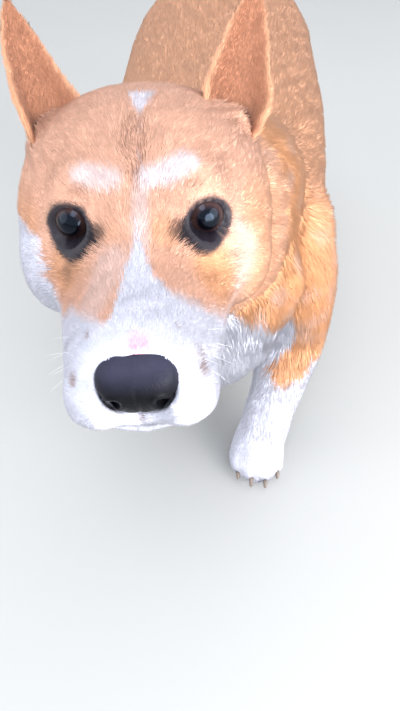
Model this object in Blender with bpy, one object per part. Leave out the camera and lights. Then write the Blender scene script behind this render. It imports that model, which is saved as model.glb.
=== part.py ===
# A Pembroke Welsh Corgi at life size, walking with its head low and its face turned up a little.
# The dog faces -Y, its own left side is at +X, and it stands on the floor at z = 0. Units are metres.
# The whole animal is one form out to the tips of its coat, and thin cuts part it where a person
# would name its pieces. Eyes, ears, nose leather and claws are pieces of their own.

from collections import namedtuple
from math import cos, pi, radians, sin

import bmesh
import bpy
from mathutils import Euler, Matrix, Vector

# Driving dimensions of the dog.
BACK_TOP = 0.283
TRUNK_HALF_WIDTH = 0.088
CHEST_FLOOR = 0.106
EYE_OUT = 0.0262
EYE_BACK = 0.0100
EYE_RADIUS = 0.0108
LID = 0.0026
LID_OPENING = (0.0115, 0.0105, 0.0088)
GAZE_OUT = 18
NOSE_HALF_WIDTH = 0.0145
NOSTRIL_AT = (0.0062, -0.0795, -0.0285)
NOSTRIL_SIZE = (0.0024, 0.0050, 0.0030)
NOSTRIL_TURN = 25
EAR_LENGTH = 0.0805
EAR_HALF_WIDTH = 0.0158
EAR_THICKNESS = 0.0040
EAR_SUNK = 0.0110
EAR_LEAN = 0.0089
EAR_BELLY = 0.065
EAR_ROOT_ROLL = 110
EAR_TIP_ROLL = 27
EAR_TAPER = 0.45
EAR_TAPER_END = 0.30
PAW_HALF_WIDTH = 0.0235
CLAW_LENGTH = 0.0110
CLAW_RADIUS = 0.0021
CLAW_DEPTH = 1.25
CLAW_SUNK = 0.0050
CLAW_HEIGHT = 0.0100
CLAW_DROP = 0.0062

# Where the head is carried: the point midway between the eyes, and how the head turns about it.
HEAD_AT = Vector((-0.0290, -0.3020, 0.3010))
HEAD_PITCH = radians(-8.0)
HEAD_YAW = radians(5.0)
HEAD_ROLL = radians(-2.0)

# Where the thinning of the form changes, and how much each region takes part in it.
HEAD_END = 0.09
PAW_HEIGHT = 0.05
THIN_HEAD = 0.85
THIN_PAW = 0.95

# The clear gap between a socket and what sits in it, and the width of the cuts between pieces.
GAP = 0.0003
CUT = 0.0006

# How the form is meshed.
VOXEL = 0.0025
SMOOTH_STEPS = 6
FORM_TRIANGLES = 3620
NOSE_TRIANGLES = 200
RING_SIDES = 28
RING_STEPS = 5
BOXY = 2.3
EAR_ROWS = 7
EAR_COLUMNS = 7
CLAW_SIDES = 5
CLAW_RINGS = 3

# One cross-section: its centre, half width, extent to either side of the centre, and how much
# its upper half narrows.
Ring = namedtuple("Ring", "at wide over under pinch", defaults=(0.0,))

# The trunk, from the breastbone to the buttocks. The front swings a little to the dog's right.
TRUNK = (
    Ring((-0.018, -0.196, 0.176), 0.040, 0.038, 0.050),
    Ring((-0.018, -0.176, 0.180), 0.066, 0.060, 0.066),
    Ring((-0.018, -0.138, 0.186), TRUNK_HALF_WIDTH - 0.002, 0.084, 0.186 - CHEST_FLOOR),
    Ring((-0.011, -0.095, 0.190), TRUNK_HALF_WIDTH + 0.003, BACK_TOP - 0.190, 0.190 - CHEST_FLOOR),
    Ring((-0.0055, -0.040, 0.192), TRUNK_HALF_WIDTH + 0.005, BACK_TOP - 0.194, 0.191 - CHEST_FLOOR),
    Ring((-0.0030, 0.030, 0.196), TRUNK_HALF_WIDTH + 0.0055, BACK_TOP - 0.197, 0.084),
    Ring((-0.0040, 0.100, 0.202), TRUNK_HALF_WIDTH + 0.006, BACK_TOP - 0.201, 0.076),
    Ring((-0.004, 0.160, 0.206), TRUNK_HALF_WIDTH + 0.005, BACK_TOP - 0.204, 0.070),
    Ring((-0.002, 0.215, 0.204), 0.086, BACK_TOP - 0.204, 0.066),
    Ring((0.000, 0.250, 0.194), 0.066, 0.076, 0.058),
    Ring((0.000, 0.268, 0.188), 0.036, 0.046, 0.036),
)

# The neck, from inside the back of the head to inside the withers.
NECK = (
    Ring((-0.030, -0.240, 0.280), 0.050, 0.040, 0.052),
    Ring((-0.028, -0.212, 0.266), 0.064, 0.050, 0.072),
    Ring((-0.023, -0.176, 0.242), 0.076, 0.060, 0.086),
    Ring((-0.016, -0.125, 0.216), 0.080, 0.070, 0.084),
)

# The skull and muzzle with the lower jaw, in the head's own frame, from the lips to the nape.
SKULL = (
    Ring((0, -0.0750, -0.0310), 0.0150, 0.0125, 0.0150),
    Ring((0, -0.0690, -0.0305), 0.0238, 0.0185, 0.0220, 0.18),
    Ring((0, -0.0550, -0.0305), 0.0292, 0.0215, 0.0245, 0.28),
    Ring((0, -0.0350, -0.0305), 0.0325, 0.0250, 0.0265, 0.36),
    Ring((0, -0.0155, -0.0290), 0.0365, 0.0300, 0.0300, 0.45),
    Ring((0, -0.0020, -0.0260), 0.0430, 0.0365, 0.0360, 0.45),
    Ring((0, 0.0120, -0.0220), 0.0510, 0.0430, 0.0430, 0.32),
    Ring((0, 0.0280, -0.0180), 0.0590, 0.0490, 0.0500, 0.12),
    Ring((0, 0.0460, -0.0150), 0.0630, 0.0540, 0.0560, 0.05),
    Ring((0, 0.0650, -0.0150), 0.0620, 0.0550, 0.0580, 0.05),
    Ring((0, 0.0860, -0.0170), 0.0550, 0.0520, 0.0590, 0.05),
    Ring((0, 0.1060, -0.0210), 0.0440, 0.0450, 0.0520, 0.05),
    Ring((0, 0.1200, -0.0250), 0.0280, 0.0300, 0.0340),
)

# The nose leather, in the head's frame, from its front to inside the muzzle.
NOSE = (
    Ring((0, -0.0795, -0.0282), 0.0060, 0.0050, 0.0062),
    Ring((0, -0.0785, -0.0280), 0.0110, 0.0088, 0.0100),
    Ring((0, -0.0755, -0.0276), NOSE_HALF_WIDTH - 0.0008, 0.0112, 0.0122),
    Ring((0, -0.0705, -0.0272), NOSE_HALF_WIDTH, 0.0116, 0.0118),
    Ring((0, -0.0640, -0.0268), 0.0120, 0.0096, 0.0090),
)

# Legs from the top down: shoulder or hip, elbow or knee, wrist or hock, and the paw's heel.
LEGS = {
    "fore_left": (
        Ring((0.052, -0.120, 0.200), 0.034, 0.048, 0.050),
        Ring((0.060, -0.140, 0.158), 0.032, 0.038, 0.040),
        Ring((0.063, -0.150, 0.122), 0.029, 0.030, 0.030),
        Ring((0.060, -0.160, 0.088), 0.0260, 0.0250, 0.0250),
        Ring((0.053, -0.172, 0.056), 0.0220, 0.0205, 0.0215),
        Ring((0.045, -0.186, 0.026), 0.0215, 0.0195, 0.0200),
        Ring((0.042, -0.193, 0.010), 0.0190, 0.0175, 0.0180),
    ),
    "fore_right": (
        Ring((-0.084, -0.112, 0.200), 0.034, 0.048, 0.050),
        Ring((-0.090, -0.106, 0.158), 0.032, 0.038, 0.040),
        Ring((-0.086, -0.094, 0.122), 0.029, 0.030, 0.030),
        Ring((-0.076, -0.084, 0.088), 0.0260, 0.0250, 0.0250),
        Ring((-0.066, -0.074, 0.056), 0.0220, 0.0205, 0.0215),
        Ring((-0.060, -0.066, 0.026), 0.0215, 0.0195, 0.0200),
        Ring((-0.058, -0.064, 0.010), 0.0190, 0.0175, 0.0180),
    ),
    "hind_left": (
        Ring((0.052, 0.205, 0.205), 0.036, 0.050, 0.052),
        Ring((0.060, 0.200, 0.165), 0.038, 0.052, 0.056),
        Ring((0.066, 0.210, 0.132), 0.032, 0.042, 0.044),
        Ring((0.068, 0.236, 0.104), 0.0240, 0.0270, 0.0280),
        Ring((0.067, 0.258, 0.084), 0.0200, 0.0210, 0.0220),
        Ring((0.065, 0.264, 0.054), 0.0185, 0.0180, 0.0195),
        Ring((0.064, 0.266, 0.026), 0.0190, 0.0180, 0.0195),
        Ring((0.064, 0.262, 0.010), 0.0175, 0.0170, 0.0175),
    ),
    "hind_right": (
        Ring((-0.052, 0.185, 0.205), 0.036, 0.052, 0.052),
        Ring((-0.062, 0.165, 0.165), 0.038, 0.056, 0.056),
        Ring((-0.069, 0.162, 0.130), 0.032, 0.044, 0.044),
        Ring((-0.070, 0.186, 0.104), 0.0240, 0.0270, 0.0280),
        Ring((-0.068, 0.208, 0.084), 0.0200, 0.0210, 0.0220),
        Ring((-0.064, 0.200, 0.054), 0.0185, 0.0180, 0.0195),
        Ring((-0.061, 0.188, 0.026), 0.0190, 0.0180, 0.0195),
        Ring((-0.060, 0.180, 0.010), 0.0175, 0.0170, 0.0175),
    ),
}

# The middle of each paw, and how far its toes turn to the dog's left, in degrees.
PAWS = {
    "fore_left": ((0.0395, -0.1965), 3),
    "fore_right": ((-0.0575, -0.0740), -6),
    "hind_left": ((0.0640, 0.2500), 6),
    "hind_right": ((-0.0600, 0.1680), -6),
}

# Each toe: how far to the dog's left of the paw's middle, how far ahead, and its half width,
# as shares of the paw's half width.
TOES = {
    "a": (0.70, 0.42, 0.36),
    "b": (0.25, 0.80, 0.38),
    "c": (-0.25, 0.80, 0.38),
    "d": (-0.70, 0.42, 0.36),
}

# Each ear, in the head's frame: the middle of its root, the way to its tip, and the way its
# hollow side looks.
EARS = {
    "ear_left": ((0.0433, 0.0621, 0.0220), (0.203, 0.725, 0.620), (-0.007, -0.750, 0.090)),
    "ear_right": ((-0.0433, 0.0620, 0.0215), (-0.339, 0.730, 0.620), (0.480, -0.750, 0.162)),
}

# The level cut that frees each lower limb: its middle and its radius.
LIMB_CUTS = {
    "fore_left": ((0.0615, -0.156, 0.097), 0.042),
    "fore_right": ((-0.0790, -0.087, 0.097), 0.042),
    "hind_left": ((0.0675, 0.232, 0.097), 0.054),
    "hind_right": ((-0.0700, 0.183, 0.097), 0.054),
}

# The arch that frees each upper limb, seen from the side: its front and back, the height of its
# shoulders and of its top, and the inner wall's distance from the middle, low and high.
ARCHES = {
    "fore_left": (-0.194, -0.082, 0.190, 0.234, 0.029, 0.060),
    "fore_right": (-0.160, -0.052, 0.190, 0.234, -0.050, -0.084),
    "hind_left": (0.140, 0.290, 0.185, 0.244, 0.030, 0.058),
    "hind_right": (0.108, 0.240, 0.185, 0.244, -0.030, -0.058),
}
ARCH_LOW = 0.090
ARCH_REACH = 0.30
ARCH_STEPS = 12

# Planes that part the body: a point on the plane and its normal.
BODY_CUTS = (
    ((-0.030, -0.220, 0.268), (0.0, 0.90, -0.43)),
    ((-0.018, -0.168, 0.222), (0.0, 0.73, -0.68)),
    ((0.000, -0.032, 0.200), (0.0, 1.0, 0.0)),
    ((0.000, 0.100, 0.200), (0.0, 1.0, 0.0)),
)
TAIL_CUT = ((0.000, 0.2800, 0.236), (0.0, 1.0, 0.0), 0.060)

# The height at which each paw is parted from its limb, and the knee's cut through each thigh.
PAW_TOP = 0.035
KNEE_CUTS = {
    "hind_left": ((0.066, 0.206, 0.136), (0.0, 0.45, -0.89)),
    "hind_right": ((-0.069, 0.166, 0.136), (0.0, 0.30, -0.95)),
}

# The closed mouth and the back of the jaw, in the head's frame, as (y, z) round the lower jaw.
JAW_HALF_WIDTH = 0.06
JAW = (
    (-0.100, -0.1000),
    (0.016, -0.1000),
    (0.010, -0.0620),
    (-0.008, -0.0440),
    (-0.020, -0.0400),
    (-0.044, -0.0430),
    (-0.066, -0.0445),
    (-0.100, -0.0450),
)

# The pieces of the body and a point that each one lies nearest to.
BODY_PIECES = {
    "head": (-0.030, -0.285, 0.285),
    "neck": (-0.020, -0.190, 0.245),
    "chest": (-0.015, -0.100, 0.190),
    "belly": (-0.005, 0.035, 0.195),
    "rump": (0.000, 0.180, 0.205),
    "tail": (0.000, 0.290, 0.225),
}
UPPER_LIMBS = {"fore": ("upper_arm",), "hind": ("thigh", "lower_thigh")}
LOWER_LIMBS = {"fore": ("forearm", "fore_paw"), "hind": ("hock", "hind_paw")}
WHITE_PIECES = ("fore_paw", "hind_paw", "forearm", "hock")


def head_matrix():
    """From the head's own frame, level and looking along -Y, to where the head is carried."""
    turned = Euler((HEAD_PITCH, HEAD_ROLL, HEAD_YAW), "YXZ").to_matrix().to_4x4()
    return Matrix.Translation(HEAD_AT) @ turned


HEAD = head_matrix()


def clear_scene():
    for obj in list(bpy.data.objects):
        bpy.data.objects.remove(obj, do_unlink=True)


def surface(name, colour, roughness):
    """One plain material, by its colour and roughness."""
    made = bpy.data.materials.new(name)
    made.use_nodes = True
    shader = made.node_tree.nodes["Principled BSDF"]
    shader.inputs["Base Color"].default_value = (*colour, 1.0)
    shader.inputs["Roughness"].default_value = roughness
    shader.inputs["Metallic"].default_value = 0.0
    return made


def add_object(name, bm, look=None):
    """An object made from the faces in bm."""
    bmesh.ops.recalc_face_normals(bm, faces=bm.faces)
    mesh = bpy.data.meshes.new(name)
    bm.to_mesh(mesh)
    bm.free()
    if look:
        mesh.materials.append(look)
    obj = bpy.data.objects.new(name, mesh)
    bpy.context.scene.collection.objects.link(obj)
    return obj


def copy_of(obj):
    twin = obj.copy()
    twin.data = obj.data.copy()
    bpy.context.scene.collection.objects.link(twin)
    return twin


def apply_modifiers(obj):
    """Turns what the modifiers show into the object's own mesh."""
    graph = bpy.context.evaluated_depsgraph_get()
    made = bpy.data.meshes.new_from_object(obj.evaluated_get(graph))
    obj.modifiers.clear()
    obj.data = made


def cut_with(obj, cutter, operation="DIFFERENCE"):
    """Cuts the object with the cutter's shape and drops the cutter."""
    cut = obj.modifiers.new("cut", "BOOLEAN")
    cut.operation = operation
    cut.solver = "EXACT"
    cut.object = cutter
    apply_modifiers(obj)
    bpy.data.objects.remove(cutter, do_unlink=True)


def swollen(obj, by):
    """A copy of the object with its surface moved outwards."""
    bm = bmesh.new()
    bm.from_mesh(obj.data)
    bm.normal_update()
    moved = [vertex.co + vertex.normal * by for vertex in bm.verts]
    for vertex, place in zip(bm.verts, moved):
        vertex.co = place
    return add_object("swollen", bm)


def loose_pieces(obj):
    """Splits the object into one object per connected piece."""
    bpy.ops.object.select_all(action="DESELECT")
    obj.select_set(True)
    bpy.context.view_layer.objects.active = obj
    bpy.ops.mesh.separate(type="LOOSE")
    return list(bpy.context.selected_objects)


def middle_of(obj):
    corners = [Vector(corner) for corner in obj.bound_box]
    return sum(corners, Vector()) / len(corners)


def name_nearest(pieces, places):
    """Names each piece after the place that its middle lies nearest to, one piece for one place."""
    left = dict(places)
    for piece in sorted(pieces, key=lambda obj: -len(obj.data.polygons)):
        name = min(left, key=lambda key: (Vector(left[key]) - middle_of(piece)).length)
        piece.name = name
        del left[name]


def between(a, b, c, d, t):
    """A smooth curve through b and c, at t from 0 to 1, with a and d as its neighbours."""
    straight = 2 * b + (c - a) * t
    bend = (2 * a - 5 * b + 4 * c - d) * t ** 2 + (3 * b - a - 3 * c + d) * t ** 3
    return 0.5 * (straight + bend)


def finer(rings):
    """The rings with smooth ones added between them."""
    rows = [(*ring.at, ring.wide, ring.over, ring.under, ring.pinch) for ring in rings]
    made = []
    for i in range(len(rows) - 1):
        four = [rows[max(i - 1, 0)], rows[i], rows[i + 1], rows[min(i + 2, len(rows) - 1)]]
        for step in range(RING_STEPS):
            values = [between(*column, step / RING_STEPS) for column in zip(*four)]
            made.append(Ring(Vector(values[:3]), *values[3:]))
    last = rows[-1]
    made.append(Ring(Vector(last[:3]), *last[3:]))
    return made


def squarish(value):
    """Pushes the sine or cosine of a turn outwards, so that a round section grows fuller corners."""
    return abs(value) ** (2 / BOXY) * (1 if value > 0 else -1)


def tube(bm, rings, matrix=Matrix.Identity(4)):
    """A closed body through the rings. Each ring stands square to the path, its width along X."""
    rings = finer(rings)
    loops = []
    for i, ring in enumerate(rings):
        ahead = rings[min(i + 1, len(rings) - 1)].at - rings[max(i - 1, 0)].at
        along = ahead.normalized()
        side = (Vector((1, 0, 0)) - along * along.x).normalized()
        up = side.cross(along)
        loop = []
        for k in range(RING_SIDES):
            turn = 2 * pi * k / RING_SIDES
            rise = squarish(sin(turn))
            half = ring.wide * (1 - ring.pinch * max(rise, 0))
            height = ring.over if rise > 0 else ring.under
            place = ring.at + side * half * squarish(cos(turn)) + up * height * rise
            loop.append(bm.verts.new(matrix @ place))
        loops.append(loop)
    for first, second in zip(loops, loops[1:]):
        for k in range(RING_SIDES):
            after = (k + 1) % RING_SIDES
            bm.faces.new((first[k], first[after], second[after], second[k]))
    bm.faces.new(reversed(loops[0]))
    bm.faces.new(loops[-1])


def blob(bm, at, radii, matrix=Matrix.Identity(4), turn=(0, 0, 0), detail=3):
    """An ellipsoid, turned by angles in degrees."""
    place = matrix @ Matrix.Translation(at) @ Euler([radians(a) for a in turn]).to_matrix().to_4x4()
    shape = place @ Matrix.Diagonal((*radii, 1))
    bmesh.ops.create_icosphere(bm, subdivisions=detail, radius=1.0, matrix=shape)


def pair(bm, at, radii, turn=(0, 0, 0)):
    """The same ellipsoid on both sides of the head."""
    for side in (1, -1):
        mirrored = (turn[0], turn[1] * side, turn[2] * side)
        blob(bm, (at[0] * side, at[1], at[2]), radii, HEAD, mirrored)


def prism(outline, start, end, grow=0.0):
    """A solid from one X to another. Its outline in Y and Z runs anticlockwise and can grow outwards."""
    bm = bmesh.new()
    count = len(outline)
    grown = []
    for i in range(count):
        before, here, after = (Vector(outline[(i + step) % count]) for step in (-1, 0, 1))
        first = (here - before).normalized()
        second = (after - here).normalized()
        outward = Vector((first.y + second.y, -first.x - second.x)).normalized()
        widen = max(outward.dot(Vector((first.y, -first.x))), 0.3)
        grown.append(here + outward * grow / widen)
    rims = []
    for x in (min(start, end) - grow, max(start, end) + grow):
        rims.append([bm.verts.new((x, point.x, point.y)) for point in grown])
    for i in range(count):
        after = (i + 1) % count
        bm.faces.new((rims[0][i], rims[0][after], rims[1][after], rims[1][i]))
    bm.faces.new(rims[0])
    bm.faces.new(reversed(rims[1]))
    return bm


def take_out(form, outline, start, end, matrix=Matrix.Identity(4)):
    """Parts from the form what lies inside a prism, leaving the width of a cut round it."""
    taken = copy_of(form)
    inner = prism(outline, start, end)
    inner.transform(matrix)
    cut_with(taken, add_object("inner", inner), "INTERSECT")
    outer = prism(outline, start, end, CUT)
    outer.transform(matrix)
    cut_with(form, add_object("outer", outer))
    return taken


def slab(form, at, normal, radius=0.20):
    """A round cut of thin width through the form, square to the normal."""
    bm = bmesh.new()
    turned = Vector(normal).to_track_quat("Z", "Y").to_matrix().to_4x4()
    place = Matrix.Translation(at) @ turned
    bmesh.ops.create_cone(
        bm, cap_ends=True, segments=40, radius1=radius, radius2=radius, depth=CUT, matrix=place
    )
    cut_with(form, add_object("slab", bm))


def paw_matrix(leg):
    (x, y), toe_out = PAWS[leg]
    return Matrix.Translation((x, y, 0)) @ Matrix.Rotation(radians(toe_out), 4, "Z")


def add_paw(bm, leg):
    """A compact round foot with four arched toes."""
    place = paw_matrix(leg)
    half = PAW_HALF_WIDTH
    blob(bm, (0, half * 0.10, half * 0.70), (half * 0.90, half * 1.12, half * 0.86), place)
    for out, ahead, wide in TOES.values():
        blob(bm, (half * out, -half * ahead, half * 0.46), (half * wide, half * 0.66, half * 0.58), place)


def add_trunk(bm):
    tube(bm, TRUNK)
    tube(bm, NECK)
    blob(bm, (-0.020, -0.184, 0.184), (0.070, 0.050, 0.078))  # chest ruff
    blob(bm, (-0.032, -0.178, 0.180), (0.095, 0.050, 0.066), turn=(0, 0, -8))  # ruff to the side
    blob(bm, (-0.008, -0.180, 0.140), (0.056, 0.050, 0.052))  # bib
    blob(bm, (-0.014, -0.092, 0.254), (0.044, 0.060, 0.030))  # withers
    blob(bm, (0.053, -0.122, 0.178), (0.034, 0.052, 0.064), turn=(14, 0, 0))  # left shoulder
    blob(bm, (-0.084, -0.112, 0.180), (0.036, 0.052, 0.064), turn=(-6, 0, 0))  # right shoulder
    blob(bm, (0.052, 0.198, 0.188), (0.044, 0.064, 0.074))  # left thigh
    blob(bm, (-0.052, 0.178, 0.186), (0.044, 0.066, 0.074))  # right thigh
    blob(bm, (0.000, 0.180, 0.250), (0.072, 0.070, 0.036))  # croup
    blob(bm, (0.000, 0.252, 0.165), (0.040, 0.024, 0.050))  # breeches


def add_tail(bm):
    """A short bobbed tail, held down."""
    tube(
        bm,
        (
            Ring((0, 0.236, 0.248), 0.024, 0.020, 0.022),
            Ring((0, 0.264, 0.246), 0.022, 0.019, 0.021),
            Ring((0, 0.292, 0.236), 0.020, 0.017, 0.020),
            Ring((0, 0.310, 0.214), 0.014, 0.012, 0.014),
        ),
    )


def add_head(bm):
    tube(bm, SKULL, HEAD)
    pair(bm, (0.0235, 0.0150, 0.0130), (0.0150, 0.0150, 0.0110), (0, 14, -20))  # brows
    pair(bm, (EYE_OUT, EYE_BACK, 0), [EYE_RADIUS + LID] * 3)  # eyelids
    pair(bm, (0.0400, 0.0290, -0.0260), (0.0200, 0.0320, 0.0280))  # cheeks
    pair(bm, (0.0440, 0.0560, -0.0300), (0.0190, 0.0300, 0.0320))  # cheek ruffs
    pair(bm, (0.0155, -0.0600, -0.0370), (0.0140, 0.0200, 0.0140))  # whisker pads
    blob(bm, (0, -0.0560, -0.0490), (0.0160, 0.0190, 0.0085), HEAD)  # chin
    pair(bm, (0.0400, 0.0640, 0.0150), (0.0180, 0.0190, 0.0160))  # roots of the ears


def level_floor(form):
    """Flattens the soles at the floor."""
    bm = bmesh.new()
    below = Matrix.Translation((0, 0, -0.05)) @ Matrix.Diagonal((1.0, 1.6, 0.1, 1.0))
    bmesh.ops.create_cube(bm, size=1.0, matrix=below)
    cut_with(form, add_object("floor_cut", bm))


def thin_faces(form):
    """Leaves fewer faces on the form, thinned least on the head and the paws."""
    group = form.vertex_groups.new(name="thin")
    from_head = HEAD.inverted()
    for vertex in form.data.vertices:
        weight = 1.0
        if vertex.co.z < PAW_HEIGHT:
            weight = THIN_PAW
        if (from_head @ vertex.co).y < HEAD_END:
            weight = THIN_HEAD
        group.add([vertex.index], weight, "REPLACE")
    form.data.calc_loop_triangles()
    thin = form.modifiers.new("thin", "DECIMATE")
    thin.ratio = FORM_TRIANGLES / len(form.data.loop_triangles)
    thin.vertex_group = group.name
    thin.vertex_group_factor = 1.0
    apply_modifiers(form)
    form.vertex_groups.clear()


def whole_form(coat):
    """The whole dog as one smooth closed form."""
    bm = bmesh.new()
    add_trunk(bm)
    add_tail(bm)
    add_head(bm)
    for leg, rings in LEGS.items():
        tube(bm, rings)
        add_paw(bm, leg)
    form = add_object("form", bm, coat)
    join = form.modifiers.new("join", "REMESH")
    join.mode = "VOXEL"
    join.voxel_size = VOXEL
    soften = form.modifiers.new("soften", "SMOOTH")
    soften.factor = 0.5
    soften.iterations = SMOOTH_STEPS
    apply_modifiers(form)
    thin_faces(form)
    level_floor(form)
    return form


def part_body(form):
    """Parts the form into head, neck, chest, belly, rump, tail and the four limbs."""
    for at, radius in LIMB_CUTS.values():
        slab(form, at, (0, 0, 1), radius)
    body, *limbs = sorted(loose_pieces(form), key=lambda obj: -obj.dimensions.y)
    for limb in limbs:
        leg = min(LIMB_CUTS, key=lambda key: (Vector(LIMB_CUTS[key][0]).xy - middle_of(limb).xy).length)
        slab(limb, (0, 0, PAW_TOP), (0, 0, 1), radius=0.5)
        name_downwards(limb, leg, LOWER_LIMBS)
    for leg, arch in ARCHES.items():
        outline, lean = limb_arch(*arch)
        reach = ARCH_REACH if leg.endswith("left") else -ARCH_REACH
        limb = take_out(body, outline, 0.0, reach, lean)
        if leg in KNEE_CUTS:
            slab(limb, *KNEE_CUTS[leg])
        name_downwards(limb, leg, UPPER_LIMBS)
    for at, normal in BODY_CUTS:
        slab(body, at, normal)
    slab(body, *TAIL_CUT)
    name_nearest(loose_pieces(body), BODY_PIECES)


def limb_arch(front, back, shoulder, top, low, high):
    """The arch that frees an upper limb, and how its inner wall leans."""
    middle = (front + back) / 2
    outline = [(back, ARCH_LOW)]
    for step in range(ARCH_STEPS + 1):
        turn = pi * step / ARCH_STEPS
        outline.append((middle + (back - middle) * cos(turn), shoulder + (top - shoulder) * sin(turn)))
    outline.append((front, ARCH_LOW))
    slope = (high - low) / (top - ARCH_LOW)
    lean = Matrix.Identity(4)
    lean[0][2] = slope
    lean[0][3] = low - slope * ARCH_LOW
    return outline, lean


def name_downwards(limb, leg, names):
    """Splits a limb into its pieces and names them from the top."""
    kind, side = leg.split("_")
    pieces = sorted(loose_pieces(limb), key=lambda obj: -middle_of(obj).z)
    for piece, name in zip(pieces, names[kind], strict=True):
        piece.name = name + "_" + side


def eye_middle(side):
    return Vector((EYE_OUT * side, EYE_BACK, 0))


def ball(radius, side, look=None):
    bm = bmesh.new()
    place = HEAD @ Matrix.Translation(eye_middle(side)) @ Matrix.Rotation(radians(90), 4, "X")
    bmesh.ops.create_uvsphere(bm, u_segments=14, v_segments=8, radius=radius, matrix=place)
    return add_object("ball", bm, look)


def eye_opening(side):
    """The almond between the lids, in front of the eyeball and along its gaze."""
    bm = bmesh.new()
    gaze = Matrix.Rotation(radians(GAZE_OUT * side), 4, "Z")
    place = HEAD @ Matrix.Translation(eye_middle(side)) @ gaze
    blob(bm, (0, -EYE_RADIUS, 0), LID_OPENING, place, detail=2)
    return add_object("opening", bm)


def nose_leather(look):
    """The nose leather, without its nostrils."""
    bm = bmesh.new()
    tube(bm, NOSE, HEAD)
    nose = add_object("nose", bm, look)
    nose.data.calc_loop_triangles()
    thin = nose.modifiers.new("thin", "DECIMATE")
    thin.ratio = NOSE_TRIANGLES / len(nose.data.loop_triangles)
    apply_modifiers(nose)
    return nose


def face_pieces(head, white, eye_look, nose_look):
    """Frees the lower jaw, and sets the eyes and the nose leather into the head."""
    jaw = take_out(head, JAW, -JAW_HALF_WIDTH, JAW_HALF_WIDTH, HEAD)
    jaw.name = "lower_jaw"
    jaw.data.materials[0] = white
    for name, side in (("eye_left", 1), ("eye_right", -1)):
        cut_with(head, ball(EYE_RADIUS + GAP, side))
        cut_with(head, eye_opening(side))
        ball(EYE_RADIUS, side, eye_look).name = name
    nose = nose_leather(nose_look)
    cut_with(head, swollen(nose, GAP))
    holes = bmesh.new()
    x, y, z = NOSTRIL_AT
    for side in (1, -1):
        blob(holes, (x * side, y, z), NOSTRIL_SIZE, HEAD, (0, NOSTRIL_TURN * side, 0), detail=2)
    cut_with(nose, add_object("nostrils", holes))


def ear_sheet(name):
    """The middle surface of an ear as rows of points: a leaf rolled into a cup at its root."""
    root, tip, hollow = (Vector(value) for value in EARS[name])
    tip.normalize()
    across = tip.cross(hollow).normalized()
    hollow = across.cross(tip)
    rows = []
    for row in range(EAR_ROWS + 1):
        share = row / EAR_ROWS
        fullness = 1.0 + EAR_BELLY * sin(pi * min(2 * share, 1.0))
        half = EAR_HALF_WIDTH * fullness * (1 - share ** 2.2) ** 0.75
        half *= 1 - EAR_TAPER * (1 - min(share / EAR_TAPER_END, 1.0)) ** 1.5
        half = max(half, EAR_THICKNESS * 0.6)
        roll = radians(EAR_ROOT_ROLL + (EAR_TIP_ROLL - EAR_ROOT_ROLL) * share ** 0.7)
        radius = half / sin(min(roll, pi / 2))
        along = EAR_LENGTH * share - EAR_SUNK
        line = root + tip * along + hollow * EAR_LEAN * share ** 2
        points = []
        for column in range(EAR_COLUMNS + 1):
            turn = roll * (2 * column / EAR_COLUMNS - 1)
            points.append(line + across * radius * sin(turn) + hollow * radius * (1 - cos(turn)))
        rows.append(points)
    return rows


def make_ear(name, head, look):
    """An ear of even thickness, ending where it meets the head."""
    bm = bmesh.new()
    grid = [[bm.verts.new(HEAD @ point) for point in row] for row in ear_sheet(name)]
    for low, high in zip(grid, grid[1:]):
        for i in range(EAR_COLUMNS):
            bm.faces.new((low[i], low[i + 1], high[i + 1], high[i]))
    ear = add_object(name, bm, look)
    thick = ear.modifiers.new("thick", "SOLIDIFY")
    thick.thickness = EAR_THICKNESS
    thick.offset = 0.0
    apply_modifiers(ear)
    cut_with(ear, swollen(head, GAP))
    keep_largest(ear)


def keep_largest(obj):
    """Drops any crumb that a cut left beside the main piece."""
    name = obj.name
    main, *crumbs = sorted(loose_pieces(obj), key=lambda piece: -len(piece.data.polygons))
    for crumb in crumbs:
        bpy.data.objects.remove(crumb, do_unlink=True)
    main.name = name


def claw_rings(out, ahead):
    """The middle and radius of each ring of a claw, in the paw's own frame."""
    start = -PAW_HALF_WIDTH * (ahead + 0.60) + CLAW_SUNK
    for step in range(CLAW_RINGS + 1):
        share = step / CLAW_RINGS
        height = CLAW_HEIGHT - CLAW_DROP * share ** 1.6
        at = Vector((PAW_HALF_WIDTH * out, start - CLAW_LENGTH * share, height))
        yield at, CLAW_RADIUS * (1 - 0.80 * share ** 1.5)


def make_claw(name, place, out, ahead, look):
    """A tapered claw that curves down to its tip."""
    bm = bmesh.new()
    loops = []
    for at, radius in claw_rings(out, ahead):
        loop = []
        for k in range(CLAW_SIDES):
            turn = 2 * pi * k / CLAW_SIDES
            offset = Vector((cos(turn) * radius, 0, sin(turn) * radius * CLAW_DEPTH))
            loop.append(bm.verts.new(place @ (at + offset)))
        loops.append(loop)
    for first, second in zip(loops, loops[1:]):
        for k in range(CLAW_SIDES):
            after = (k + 1) % CLAW_SIDES
            bm.faces.new((first[k], first[after], second[after], second[k]))
    bm.faces.new(reversed(loops[0]))
    bm.faces.new(loops[-1])
    return add_object(name, bm, look)


def make_claws(leg, look):
    """Four claws that come out of a paw's toes."""
    kind, side = leg.split("_")
    paw = bpy.data.objects[kind + "_paw_" + side]
    for toe, (out, ahead, _) in TOES.items():
        claw = make_claw("claw_" + leg + "_" + toe, paw_matrix(leg), out, ahead, look)
        cut_with(claw, swollen(paw, GAP))
        keep_largest(claw)


def centre_origin():
    """Moves everything so that the middle of the whole, seen from above, is at x = y = 0."""
    objects = list(bpy.context.scene.objects)
    corners = [Vector(corner) for obj in objects for corner in obj.bound_box]
    middle = Vector((0, 0, 0))
    for i in (0, 1):
        values = [corner[i] for corner in corners]
        middle[i] = (min(values) + max(values)) / 2
    for obj in objects:
        obj.data.transform(Matrix.Translation(-middle))


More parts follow.
